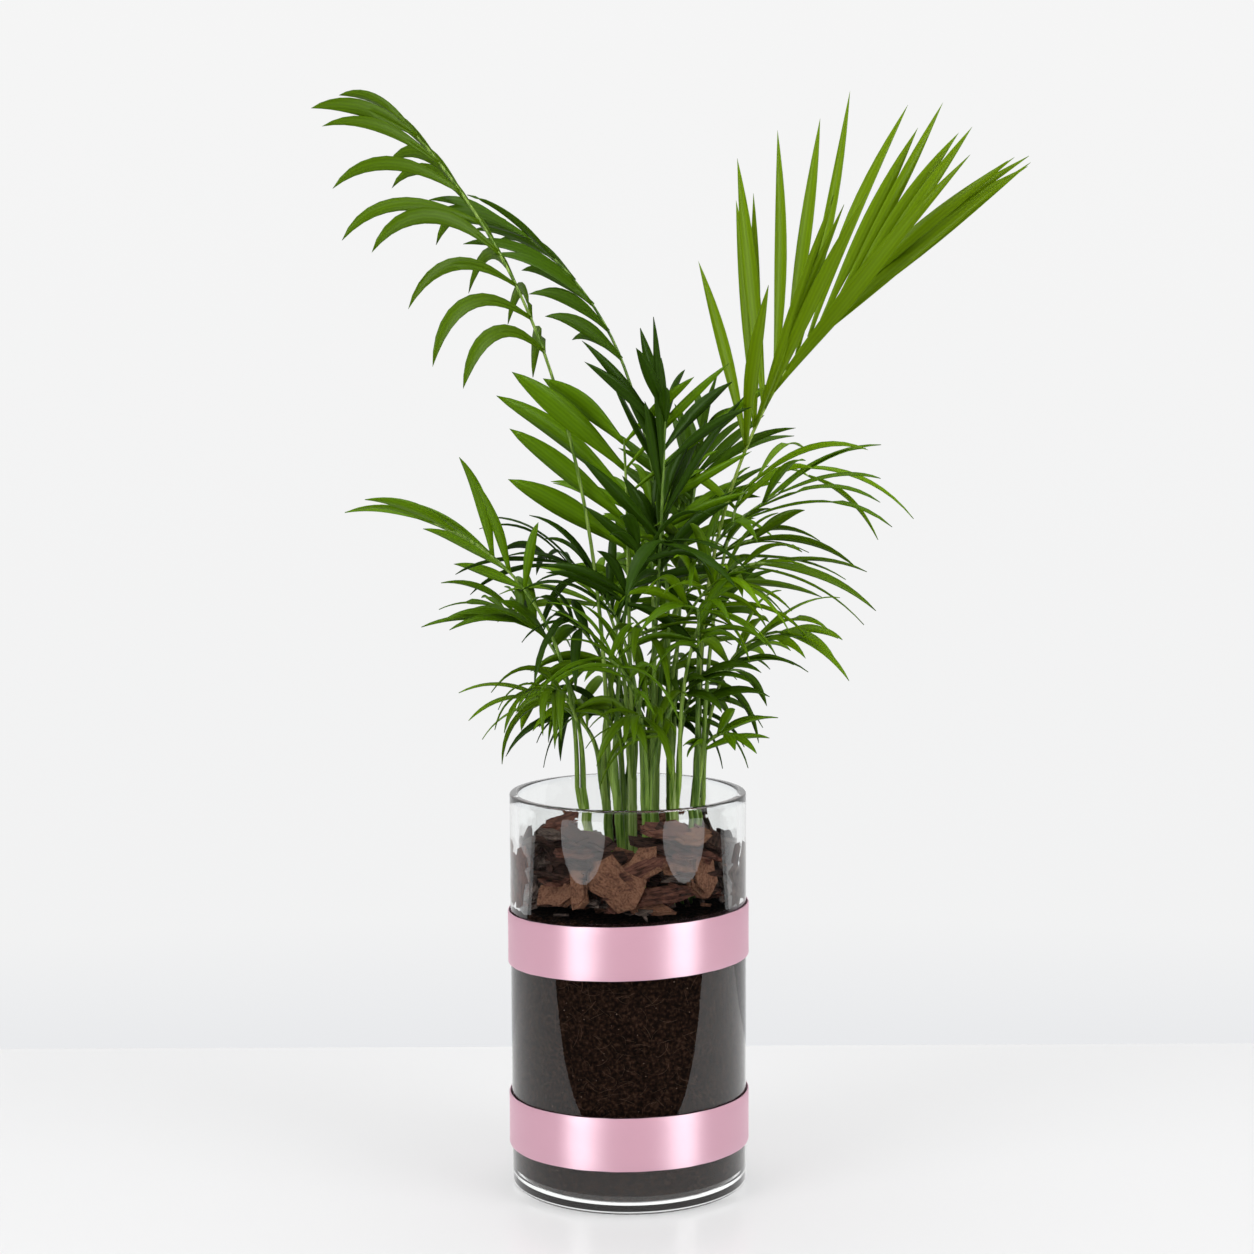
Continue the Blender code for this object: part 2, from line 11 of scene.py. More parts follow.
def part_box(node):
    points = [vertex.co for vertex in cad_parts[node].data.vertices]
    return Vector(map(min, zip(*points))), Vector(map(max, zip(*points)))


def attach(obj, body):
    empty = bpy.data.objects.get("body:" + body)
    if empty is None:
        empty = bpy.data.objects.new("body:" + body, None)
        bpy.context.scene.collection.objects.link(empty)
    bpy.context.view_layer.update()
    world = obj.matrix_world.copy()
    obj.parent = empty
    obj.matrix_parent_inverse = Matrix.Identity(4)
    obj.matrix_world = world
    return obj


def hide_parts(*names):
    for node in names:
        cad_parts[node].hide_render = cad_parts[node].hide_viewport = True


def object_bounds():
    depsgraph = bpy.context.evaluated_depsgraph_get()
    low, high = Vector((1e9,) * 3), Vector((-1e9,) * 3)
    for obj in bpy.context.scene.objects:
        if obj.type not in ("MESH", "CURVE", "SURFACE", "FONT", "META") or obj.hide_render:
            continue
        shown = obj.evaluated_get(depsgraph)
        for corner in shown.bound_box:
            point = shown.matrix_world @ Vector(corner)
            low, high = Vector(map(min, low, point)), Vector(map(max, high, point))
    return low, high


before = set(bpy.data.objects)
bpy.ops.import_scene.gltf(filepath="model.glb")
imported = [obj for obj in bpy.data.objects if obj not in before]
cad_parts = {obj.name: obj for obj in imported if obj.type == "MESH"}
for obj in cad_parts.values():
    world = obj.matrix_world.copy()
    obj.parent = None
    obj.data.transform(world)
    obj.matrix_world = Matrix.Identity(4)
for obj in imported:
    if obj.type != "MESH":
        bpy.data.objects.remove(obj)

cad_low, cad_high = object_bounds()

# The camera
# It stands 83 cm in front of the pot, level with the middle of the crown, and looks a little
# down. Angles are in degrees, and the lens is for a picture 36 mm wide.
CAMERA_PLACE = (0.0, -0.83276, 0.27445)
CAMERA_TILT = 5.772
CAMERA_ROLL = -0.259
CAMERA_LENS = 71.506

camera_data = bpy.data.cameras.new("camera")
camera_data.lens = CAMERA_LENS
camera_data.clip_start = 0.01
camera = bpy.data.objects.new("camera", camera_data)
bpy.context.scene.collection.objects.link(camera)
camera.matrix_world = (
    Matrix.Translation(CAMERA_PLACE)
    @ Matrix.Rotation(math.radians(90 - CAMERA_TILT), 4, "X")
    @ Matrix.Rotation(math.radians(CAMERA_ROLL), 4, "Z")
)
bpy.context.scene.camera = camera

# The glass pot
# A machine-drawn cylinder of clear soda glass with a thin floor that curves up into the wall.
# Its heel and its lip are fire-polished round, and the glass is faintly green.
POT_RADIUS = 0.040
POT_HEIGHT = 0.1345
POT_WALL = 0.0029
POT_FLOOR = 0.0024
POT_HEEL = 0.0022
POT_LIP = 0.0007
POT_FILLET = 0.0030
POT_SIDES = 160
POT_ROWS = 44
HEEL_STEPS = 8
LIP_STEPS = 5
FILLET_STEPS = 6
WELD = 0.00001
GLASS_IOR = 1.50
GLASS_TINTS = ((0.968, 0.985, 0.978), (0.985, 0.994, 0.990))
UP = Vector((0, 0, 1))


def arc(centre, radius, start, end, steps):
    """Points (radius from the axis, height) on an arc between two angles in degrees."""
    angles = [math.radians(start + (end - start) * i / steps) for i in range(steps + 1)]
    return [(centre[0] + radius * math.cos(a), centre[1] + radius * math.sin(a)) for a in angles]


def straight(radius, low, high, steps):
    """Points on a straight wall between two heights, without its ends."""
    return [(radius, low + (high - low) * i / steps) for i in range(1, steps)]


def turned(profile, sides):
    """A closed solid spun from a profile that starts and ends on the axis."""
    bm = bmesh.new()
    verts = [bm.verts.new((r, 0, z)) for r, z in profile]
    edges = [bm.edges.new(pair) for pair in zip(verts, verts[1:])]
    bmesh.ops.spin(
        bm, geom=verts + edges, axis=UP, cent=(0, 0, 0), angle=math.tau, steps=sides, use_merge=True
    )
    bmesh.ops.remove_doubles(bm, verts=bm.verts, dist=WELD)
    return bm


def finish_named(name, colour, roughness):
    """A new finish with its plain colour and roughness set, its nodes, links and shader."""
    finish = bpy.data.materials.new(name)
    finish.use_nodes = True
    nodes, links = finish.node_tree.nodes, finish.node_tree.links
    shader = nodes["Principled BSDF"]
    shader.inputs["Base Color"].default_value = (*colour, 1)
    shader.inputs["Roughness"].default_value = roughness
    return finish, nodes, links, shader


def relief(nodes, links, shader, height, depth, strength=1.0):
    """Feeds a height into the shader as bumps this many metres deep."""
    bump = nodes.new("ShaderNodeBump")
    bump.inputs["Strength"].default_value = strength
    bump.inputs["Distance"].default_value = depth
    links.new(height, bump.inputs["Height"])
    links.new(bump.outputs["Normal"], shader.inputs["Normal"])


def object_place(nodes):
    """Where a point lies in the piece's own axes, in metres."""
    return nodes.new("ShaderNodeTexCoord").outputs["Object"]


def grain(nodes, links, place, scale, detail, stretch=(1, 1, 1)):
    """The height of a noise at this scale, stretched along the axes."""
    mapping = nodes.new("ShaderNodeMapping")
    mapping.inputs["Scale"].default_value = stretch
    links.new(place, mapping.inputs["Vector"])
    speckle = nodes.new("ShaderNodeTexNoise")
    speckle.inputs["Scale"].default_value = scale
    speckle.inputs["Detail"].default_value = detail
    links.new(mapping.outputs["Vector"], speckle.inputs["Vector"])
    return speckle.outputs["Fac"]


def shades(nodes, links, value, stops):
    """The colour for a value, blended between stops of (value, colour)."""
    ramp = nodes.new("ShaderNodeValToRGB")
    knots = ramp.color_ramp.elements
    for i, (at, colour) in enumerate(stops):
        knot = knots[i] if i < 2 else knots.new(at)
        knot.position = at
        knot.color = (*colour, 1)
    links.new(value, ramp.inputs["Fac"])
    return ramp.outputs["Color"]


def set_in_place(name, bm, finishes, stands_for=(), sharp=None):
    """Makes the piece of this mesh, with its finishes, and rides it on the body."""
    bmesh.ops.recalc_face_normals(bm, faces=bm.faces)
    mesh = bpy.data.meshes.new(name)
    bm.to_mesh(mesh)
    bm.free()
    for finish in finishes:
        mesh.materials.append(finish)
    if sharp is not None:
        mesh.shade_smooth()
        mesh.set_sharp_from_angle(angle=math.radians(sharp))
    piece = bpy.data.objects.new(name, mesh)
    bpy.context.scene.collection.objects.link(piece)
    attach(piece, "root")
    if stands_for:
        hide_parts(*stands_for)
    return piece


bore = POT_RADIUS - POT_WALL
glass = turned(
    [(0, 0)]
    + arc((POT_RADIUS - POT_HEEL, POT_HEEL), POT_HEEL, -90, 0, HEEL_STEPS)
    + straight(POT_RADIUS, POT_HEEL, POT_HEIGHT - POT_LIP, POT_ROWS)
    + arc((POT_RADIUS - POT_LIP, POT_HEIGHT - POT_LIP), POT_LIP, 0, 90, LIP_STEPS)
    + arc((bore + POT_LIP, POT_HEIGHT - POT_LIP), POT_LIP, 90, 180, LIP_STEPS)
    + straight(bore, POT_HEIGHT - POT_LIP, POT_FLOOR + POT_FILLET, POT_ROWS)
    + arc((bore - POT_FILLET, POT_FLOOR + POT_FILLET), POT_FILLET, 0, -90, FILLET_STEPS)
    + [(0, POT_FLOOR)],
    POT_SIDES,
)
clear, nodes, links, shader = finish_named("clear_glass", (0.975, 0.988, 0.982), 0.0)
shader.inputs["Transmission Weight"].default_value = 1.0
shader.inputs["IOR"].default_value = GLASS_IOR
streaks = grain(nodes, links, object_place(nodes), 14, 1.0, (1, 1, 0.35))
links.new(shades(nodes, links, streaks, enumerate(GLASS_TINTS)), shader.inputs["Base Color"])
set_in_place("glass_vase", glass, [clear], ["vase"], sharp=40)

# The coir
# Damp coconut coir, pressed into the pot by hand. It is a dark crumb with short tan fibres
# and light specks of pith in it, and its faces lie against the glass.
COIR_TOP = 0.0965
COIR_SEED = 5
COIR_SIDES = 220
COIR_STEP = 0.0010
COIR_CORNER = 0.0042
COIR_PRESS = 0.00004
COIR_CRUMB = 0.0008
COIR_CRUMB_SCALE = 420
COIR_TOP_RINGS = 24
COIR_SHADES = (
    (0.38, (0.006, 0.003, 0.002)), (0.55, (0.021, 0.010, 0.006)), (0.68, (0.048, 0.025, 0.016)),
)
FIBRES = 1100
FIBRE_LENGTH = (0.002, 0.0075)
FIBRE_THICK = (0.000030, 0.000070)
FIBRE_STEPS = 4
SPECKS = 420
SPECK_SIZE = (0.00008, 0.00026)

coir_radius = bore + COIR_PRESS
coir_foot = POT_FLOOR - COIR_PRESS
rows = round((COIR_TOP - coir_foot - COIR_CORNER) / COIR_STEP)
wall = [
    (coir_radius, coir_foot + COIR_CORNER + (COIR_TOP - coir_foot - COIR_CORNER) * i / rows)
    for i in range(rows + 1)
]
coir = turned(
    [(0, coir_foot)]
    + arc((coir_radius - COIR_CORNER, coir_foot + COIR_CORNER), COIR_CORNER, -90, 0, HEEL_STEPS)[:-1]
    + wall
    + [(coir_radius * (1 - (i + 1) / COIR_TOP_RINGS), COIR_TOP) for i in range(COIR_TOP_RINGS)],
    COIR_SIDES,
)
for vert in coir.verts:
    if vert.co.z >= COIR_TOP:
        crumb = noise.fractal(vert.co * COIR_CRUMB_SCALE, 0.9, 2.1, 4)
        vert.co.z += COIR_CRUMB * min(0.9, crumb)


def coir_finish():
    """Dark crumb: near black to brown in a fine noise, over bumps from another noise."""
    finish, nodes, links, shader = finish_named("damp_coir", (0.02, 0.011, 0.007), 0.9)
    shader.inputs["Specular IOR Level"].default_value = 0.05
    place = object_place(nodes)
    fine = grain(nodes, links, place, 900, 6.0)
    links.new(shades(nodes, links, fine, COIR_SHADES), shader.inputs["Base Color"])
    relief(nodes, links, shader, grain(nodes, links, place, 650, 5.0), COIR_CRUMB, 0.9)
    return finish


set_in_place("coir_fill", coir, [coir_finish()], ["soil"], sharp=60)


def join_on(whole, part):
    """Adds a finished shape to the mesh of the whole piece."""
    laid = bpy.data.meshes.new("part")
    part.to_mesh(laid)
    part.free()
    whole.from_mesh(laid)
    bpy.data.meshes.remove(laid)


def draw_out(bm, face, corners):
    """Extrudes a face, moves the new one's corners, and gives it back."""
    end = bmesh.ops.extrude_discrete_faces(bm, faces=[face])["faces"][0]
    for vert, corner in zip(end.verts, corners):
        vert.co = corner
    return end


def tube(rings):
    """A closed tube through rings of points."""
    bm = bmesh.new()
    bmesh.ops.create_circle(bm, cap_ends=True, radius=1.0, segments=len(rings[0]))
    start = bm.faces[:][0]
    for vert, corner in zip(start.verts, rings[0]):
        vert.co = corner
    made = bmesh.ops.extrude_face_region(bm, geom=[start])["geom"]
    end = next(part for part in made if isinstance(part, bmesh.types.BMFace))
    for vert, corner in zip(end.verts, rings[1]):
        vert.co = corner
    for ring in rings[2:]:
        end = draw_out(bm, end, ring)
    return bm


def strand(path, radii, sides=3):
    """The rings of a thin round strand along a path."""
    rings = []
    for i, point in enumerate(path):
        along = (path[min(i + 1, len(path) - 1)] - path[max(i - 1, 0)]).normalized()
        side = along.cross(UP if abs(along.z) < 0.9 else Vector((1, 0, 0))).normalized()
        other = along.cross(side)
        angles = [math.tau * j / sides for j in range(sides)]
        rings.append([point + (side * math.cos(a) + other * math.sin(a)) * radii[i] for a in angles])
    return rings


def husk_finish(name, colour, scale, depth):
    """Dry husk with a fine grain, for the fibres and the specks."""
    finish, nodes, links, shader = finish_named(name, colour, 0.8)
    height = grain(nodes, links, object_place(nodes), scale, 2.0)
    relief(nodes, links, shader, height, depth, 0.5)
    return finish


coir_rng = random.Random(COIR_SEED)
fibres = bmesh.new()
for _ in range(FIBRES):
    length = coir_rng.uniform(*FIBRE_LENGTH)
    heading = coir_rng.uniform(-0.9, 0.9) if coir_rng.random() < 0.7 else coir_rng.uniform(-3, 3)
    bend = coir_rng.uniform(-1.6, 1.6)
    angle = coir_rng.uniform(0, math.tau)
    height = coir_rng.uniform(coir_foot + 0.003, COIR_TOP - 0.001)
    sunk = coir_rng.uniform(0.00000, 0.00022) * 0.1
    thick = coir_rng.uniform(*FIBRE_THICK)
    radius = coir_radius + thick * 0.2 - sunk
    path = []
    for step in range(FIBRE_STEPS + 1):
        path.append(Vector((math.cos(angle) * radius, math.sin(angle) * radius, height)))
        angle += math.cos(heading) * length / FIBRE_STEPS / radius
        height += math.sin(heading) * length / FIBRE_STEPS
        height = min(COIR_TOP + 0.001, max(coir_foot + 0.002, height))
        heading += bend / FIBRE_STEPS
    join_on(fibres, tube(strand(path, [thick * 0.6, thick, thick, thick, thick * 0.5])))
tan_fibre = husk_finish("coir_fibre", (0.090, 0.044, 0.022), 3000, 0.00005)
set_in_place("coir_fibres", fibres, [tan_fibre], sharp=80)

specks = bmesh.new()
for _ in range(SPECKS):
    angle = coir_rng.uniform(0, math.tau)
    height = coir_rng.uniform(coir_foot + 0.001, COIR_TOP)
    size = coir_rng.uniform(*SPECK_SIZE)
    radius = coir_radius - size * 0.3
    centre = Matrix.Translation((math.cos(angle) * radius, math.sin(angle) * radius, height))
    stretch = Matrix.Diagonal((1, coir_rng.uniform(0.5, 1), coir_rng.uniform(0.4, 1), 1))
    speck = bmesh.new()
    bmesh.ops.create_icosphere(speck, subdivisions=1, radius=size, matrix=centre @ stretch)
    join_on(specks, speck)
pith = husk_finish("pith_speck", (0.30, 0.20, 0.15), 5000, 0.00003)
set_in_place("coir_specks", specks, [pith], sharp=80)

# The bark mulch
# Chips of pine bark, split along their layers. The broad faces are tan and the broken edges
# dark. They are laid round the canes by hand, and lean on the glass and on one another.
BARK_SEED = 23
BARK_FLOOR = COIR_TOP + 0.0006
WALL_ROOM = bore + 0.00003
BARK_PRESS = 0.00008
Chip = namedtuple("Chip", "azimuth reach height tilt spin length width thick tone bend")
# The broad chips against the front of the glass. Azimuth 0 faces the viewer, tilt 90 stands
# the chip flat against the wall, and tone is the number of its finish.
FRONT_CHIPS = [
    Chip(-8, 0.0335, 0.1090, 82, 52, 0.0215, 0.0160, 0.0030, 0, 0.1),
    Chip(5, 0.0328, 0.1130, 70, 128, 0.0190, 0.0110, 0.0026, 0, 0.1),
    Chip(8, 0.0320, 0.1135, 62, 112, 0.0170, 0.0080, 0.0024, 1, 0.2),
    Chip(-27, 0.0335, 0.1075, 74, 12, 0.0150, 0.0070, 0.0030, 0, 0.2),
    Chip(-43, 0.0325, 0.1045, 66, 112, 0.0160, 0.0105, 0.0032, 0, 0.4),
    Chip(22, 0.0330, 0.1045, 26, 97, 0.0250, 0.0075, 0.0030, 1, 0.2),
    Chip(12, 0.0325, 0.1000, 20, 85, 0.0160, 0.0065, 0.0026, 0, 0.2),
    Chip(46, 0.0325, 0.1105, 72, 160, 0.0160, 0.0125, 0.0034, 0, 0.6),
    Chip(34, 0.0300, 0.1100, 30, 75, 0.0150, 0.0080, 0.0030, 3, 0.3),
    Chip(-36, 0.0300, 0.1110, 40, 85, 0.0170, 0.0090, 0.0030, 2, 0.3),
    Chip(-62, 0.0330, 0.1060, 76, 15, 0.0190, 0.0090, 0.0034, 3, 0.4),
    Chip(66, 0.0330, 0.1090, 78, 8, 0.0200, 0.0100, 0.0034, 3, 0.4),
    Chip(-14, 0.0285, 0.1150, 48, 100, 0.0150, 0.0080, 0.0030, 2, 0.3),
    Chip(-72, 0.0340, 0.1050, 70, 84, 0.0140, 0.0080, 0.0020, 1, 0.3),
    Chip(-84, 0.0335, 0.1020, 60, 96, 0.0140, 0.0080, 0.0022, 3, 0.3),
    Chip(74, 0.0340, 0.1060, 70, 100, 0.0140, 0.0085, 0.0022, 1, 0.3),
    Chip(86, 0.0335, 0.1080, 60, 84, 0.0140, 0.0080, 0.0022, 3, 0.3),
]
# Piles of thin flakes: azimuth, reach, foot, rise of each flake, count, tilt and heading.
PILES = [
    (-52, 0.0290, 0.1060, 0.0022, 10, 14, 96),
    (-30, 0.0270, 0.1120, 0.0020, 7, 18, 84),
    (24, 0.0265, 0.1110, 0.0020, 8, 34, 68),
    (42, 0.0290, 0.1110, 0.0020, 7, 26, 75),
    (-4, 0.0250, 0.1100, 0.0018, 4, 20, 90),
    (-74, 0.0300, 0.1010, 0.0026, 7, 20, 90),
    (68, 0.0300, 0.1030, 0.0026, 7, 20, 84),
    (-98, 0.0300, 0.1010, 0.0026, 6, 22, 90),
    (94, 0.0300, 0.1010, 0.0026, 6, 22, 90),
]
# Thin plates of bark that stand flat against the glass on both sides.
PLATE_AZIMUTHS = (-116, -104, -92, -80, -68, 68, 80, 92, 104, 116)
PLATE_HEIGHTS = (0.0995, 0.1045, 0.1095, 0.1140)
PLATE_REACH = 0.0362
PLATE_TILT = 88
PLATE_THICK = 0.0018
PLATE_BEND = 0.68
# How many chips stand round the wall, lie in the bed, lie on top of it, and how many splinters.
BARK_RING = 58
BARK_BED = 90
BARK_TOP = 40
SPLINTERS = 220
BED_RADIUS = 0.032
SPLINTER_RADIUS = 0.035
GOLDEN_TURN = 137.5
FLAKE_THICK = 0.0008
BROAD_EDGE = 0.0035
PLATE_EDGE = 0.0018
ROUGH_SCALE = 420
ROUGH_COARSE = 0.00035
ROUGH_FINE = 0.00022


def chip_form(rng, chip):
    """A chip in its own axes: length along X, layers along Z, its outline broken."""
    bm = bmesh.new()
    bmesh.ops.create_circle(bm, cap_ends=True, radius=0.5, segments=rng.choice((8, 9, 10, 11)))
    for vert in bm.verts:
        boxy = 0.5 / max(abs(vert.co.x), abs(vert.co.y) * 1.1, 0.36)
        vert.co.x *= chip.length * boxy * rng.uniform(0.70, 1.08)
        vert.co.y *= chip.width * boxy * rng.uniform(0.66, 1.14)
    face = bm.faces[:][0]
    outline = [vert.co.copy() for vert in face.verts]
    end = None
    layers = max(2, round(chip.thick / FLAKE_THICK))
    for layer in range(layers):
        inset = rng.uniform(0.78, 1.0)
        slip = Vector((rng.uniform(-0.06, 0.06) * chip.length, rng.uniform(-0.10, 0.10) * chip.width, 0))
        ring = [p * inset * rng.uniform(0.90, 1.05) + slip for p in outline]
        low = chip.thick * (layer + 0.02) / layers
        high = chip.thick * (layer + 0.92) / layers
        for height in (low, high) if layer else (high,):
            corners = [p + UP * height for p in ring]
            if end is None:
                made = bmesh.ops.extrude_face_region(bm, geom=[face])["geom"]
                end = next(part for part in made if isinstance(part, bmesh.types.BMFace))
                for vert, corner in zip(end.verts, corners):
                    vert.co = corner
            else:
                end = draw_out(bm, end, corners)
    for flat in (end, face):
        bmesh.ops.inset_individual(bm, faces=[flat], thickness=chip.width * 0.14, depth=0.0)
        bmesh.ops.poke(bm, faces=[flat])
    broad = [edge for edge in bm.edges if edge.calc_length() > BROAD_EDGE]
    bmesh.ops.subdivide_edges(bm, edges=broad, cuts=1, use_grid_fill=True)
    grain_map = bm.loops.layers.uv.new("grain")
    for face in bm.faces:
        for loop in face.loops:
            p = loop.vert.co
            loop[grain_map].uv = (p.x + chip.azimuth * 0.01, p.y + p.z * 2.3 + chip.spin * 0.01)
        face.material_index = chip.tone
    for vert in bm.verts:
        seat = vert.co * ROUGH_SCALE + Vector((chip.azimuth, chip.spin, chip.height * 900))
        vert.co += noise.noise_vector(seat) * ROUGH_COARSE
        vert.co += noise.noise_vector(seat * 3.1) * ROUGH_FINE
        vert.co.z -= chip.bend * 20 * vert.co.y ** 2
    return bm


def lay_chip(bark, rng, chip, pressed=False):
    """Lays a chip in the bed, inside the glass and above the coir, or pressed on the glass."""
    bm = chip_form(rng, chip)
    room = bore + BARK_PRESS if pressed else WALL_ROOM
    round_pot = Matrix.Rotation(math.radians(chip.azimuth - 90), 4, "Z")
    turn = (
        round_pot
        @ Matrix.Translation((chip.reach, 0, chip.height))
        @ Matrix.Rotation(math.radians(chip.tilt), 4, "Y")
        @ Matrix.Rotation(math.radians(chip.spin), 4, "Z")
    )
    bmesh.ops.transform(bm, matrix=turn, verts=bm.verts)
    past = max(vert.co.xy.length for vert in bm.verts) - WALL_ROOM
    if pressed:
        long = [edge for edge in bm.edges if edge.calc_length() > PLATE_EDGE]
        bmesh.ops.subdivide_edges(bm, edges=long, cuts=1, use_grid_fill=True)
    elif past > 0:
        bmesh.ops.translate(bm, vec=round_pot @ Vector((-past * 0.8, 0, 0)), verts=bm.verts)
    low = min(vert.co.z for vert in bm.verts)
    if low < BARK_FLOOR:
        bmesh.ops.translate(bm, vec=UP * (BARK_FLOOR - low), verts=bm.verts)
    for vert in bm.verts:
        if vert.co.xy.length > room:
            vert.co.xy *= room / vert.co.xy.length
    join_on(bark, bm)


bark_rng = random.Random(BARK_SEED)
bark = bmesh.new()
for chip in FRONT_CHIPS:
    lay_chip(bark, bark_rng, chip)
for azimuth, reach, foot, rise, count, tilt, spin in PILES:
    for level in range(count):
        lay_chip(bark, bark_rng, Chip(
            azimuth + bark_rng.uniform(-8, 8), reach + bark_rng.uniform(-0.002, 0.004),
            foot + rise * level, tilt + bark_rng.uniform(-14, 14), spin + bark_rng.uniform(-26, 26),
            bark_rng.uniform(0.013, 0.020), bark_rng.uniform(0.007, 0.010),
            bark_rng.uniform(0.0010, 0.0018), bark_rng.choice((0, 1, 1, 2, 2, 2, 3)), 0.1,
        ))
for azimuth in PLATE_AZIMUTHS:
    for height in PLATE_HEIGHTS:
        lay_chip(bark, bark_rng, Chip(
            azimuth + bark_rng.uniform(-4, 4), PLATE_REACH, height + bark_rng.uniform(-0.0015, 0.0015),
            PLATE_TILT, bark_rng.uniform(-30, 30), bark_rng.uniform(0.009, 0.013),
            bark_rng.uniform(0.008, 0.012), PLATE_THICK, bark_rng.choice((1, 2, 2, 3, 3)), PLATE_BEND,
        ), pressed=True)
for number in range(BARK_RING):
    lay_chip(bark, bark_rng, Chip(
        62 + 236 * number / BARK_RING + bark_rng.uniform(-5, 5), bark_rng.uniform(0.0285, 0.0335),
        bark_rng.uniform(0.1000, 0.1195), bark_rng.uniform(5, 85), bark_rng.uniform(0, 180),
        bark_rng.uniform(0.012, 0.021), bark_rng.uniform(0.007, 0.011),
        bark_rng.uniform(0.0018, 0.0034), bark_rng.choice((0, 1, 1, 2, 3)), bark_rng.uniform(0, 0.4),
    ))
for number in range(BARK_BED):
    lay_chip(bark, bark_rng, Chip(
        GOLDEN_TURN * number, BED_RADIUS * math.sqrt((number + 0.5) / BARK_BED),
        bark_rng.uniform(0.0985, 0.1060), bark_rng.uniform(-20, 20), bark_rng.uniform(0, 180),
        bark_rng.uniform(0.009, 0.015), bark_rng.uniform(0.005, 0.009),
        bark_rng.uniform(0.0016, 0.0028), bark_rng.choice((1, 2, 2, 3)), 0.1,
    ))
for number in range(BARK_TOP):
    lay_chip(bark, bark_rng, Chip(
        GOLDEN_TURN * number + 40, bark_rng.uniform(0.0140, 0.0270),
        bark_rng.uniform(0.1060, 0.1150), bark_rng.uniform(-25, 45), bark_rng.uniform(0, 180),
        bark_rng.uniform(0.008, 0.014), bark_rng.uniform(0.005, 0.008),
        bark_rng.uniform(0.0016, 0.0030), bark_rng.choice((0, 1, 2, 2, 3)), 0.2,
    ))
for number in range(SPLINTERS):
    lay_chip(bark, bark_rng, Chip(
        bark_rng.uniform(0, 360), SPLINTER_RADIUS * math.sqrt(bark_rng.uniform(0.02, 1)),
        bark_rng.uniform(0.0970, 0.1130), bark_rng.uniform(-40, 60), bark_rng.uniform(0, 180),
        bark_rng.uniform(0.003, 0.008), bark_rng.uniform(0.0010, 0.0030),
        bark_rng.uniform(0.0006, 0.0012), bark_rng.choice((0, 1, 2, 3)), 0.0,
    ))


def reckoned(nodes, links, operation, *values, clamp=False):
    """The result of a sum on numbers and on what other nodes give."""
    node = nodes.new("ShaderNodeMath")
    node.operation = operation
    node.use_clamp = clamp
    for socket, value in zip(node.inputs, values):
        if isinstance(value, bpy.types.NodeSocket):
            links.new(value, socket)
        else:
            socket.default_value = value
    return node.outputs["Value"]


def bark_finish(name, colour, dark, run, depth):
    """Split bark: grains that run this much along the chip, dark in the pores."""
    finish, nodes, links, shader = finish_named(name, colour, 0.85)
    shader.inputs["Specular IOR Level"].default_value = 0.12
    along = nodes.new("ShaderNodeUVMap")
    along.uv_map = "grain"
    streaks = grain(nodes, links, along.outputs["UV"], 1500, 8.0, (run, 1, 1))
    patches = grain(nodes, links, along.outputs["UV"], 300, 4.0)
    patches = reckoned(nodes, links, "MULTIPLY", patches, 0.45)
    blend = reckoned(nodes, links, "MULTIPLY_ADD", streaks, 0.55, patches)
    stops = ((0.40, dark), (0.57, colour))
    links.new(shades(nodes, links, blend, stops), shader.inputs["Base Color"])
    relief(nodes, links, shader, streaks, depth, 0.9)
    return finish


set_in_place("bark_chips", bark, [
    bark_finish("bark_tan", (0.235, 0.112, 0.068), (0.095, 0.044, 0.028), 0.70, 0.00040),
    bark_finish("bark_red", (0.150, 0.064, 0.045), (0.036, 0.016, 0.012), 0.16, 0.00045),
    bark_finish("bark_dark", (0.066, 0.034, 0.026), (0.012, 0.006, 0.005), 0.16, 0.00045),
    bark_finish("bark_grey", (0.130, 0.094, 0.080), (0.030, 0.021, 0.017), 0.30, 0.00040),
], ["bark_bed"], sharp=22)

# The ribbons
# Two bands of single-faced satin ribbon, 18 mm wide, wound once round the glass. The cut end
# is lapped over the start at the back and stuck down. They are plain, with a woven edge.
RIBBON_WIDTH = 0.0178
RIBBON_THICKNESS = 0.0004
RIBBON_CLEARANCE = 0.0005
RIBBON_DIP = 0.0010
RIBBON_RUFFLE = 0.00012
RIBBON_LAP = 22
LAP_GAP = 0.0003
RIBBON_STEPS = 180
# The height of each ribbon's middle, and how far it is tilted from side to side.
RIBBONS = {"ribbon_upper": (0.0868, 1.9), "ribbon_lower": (0.0232, 0.6)}


def fine_bands(nodes, links, uv_map, across, scale, distortion):
    """The height of fine parallel bands on a UV map, one after another along this axis."""
    along = nodes.new("ShaderNodeUVMap")
    along.uv_map = uv_map
    bands = nodes.new("ShaderNodeTexWave")
    bands.wave_type = "BANDS"
    bands.bands_direction = across
    bands.inputs["Scale"].default_value = scale
    bands.inputs["Distortion"].default_value = distortion
    bands.inputs["Detail"].default_value = 2
    links.new(along.outputs["UV"], bands.inputs["Vector"])
    return bands.outputs["Fac"]


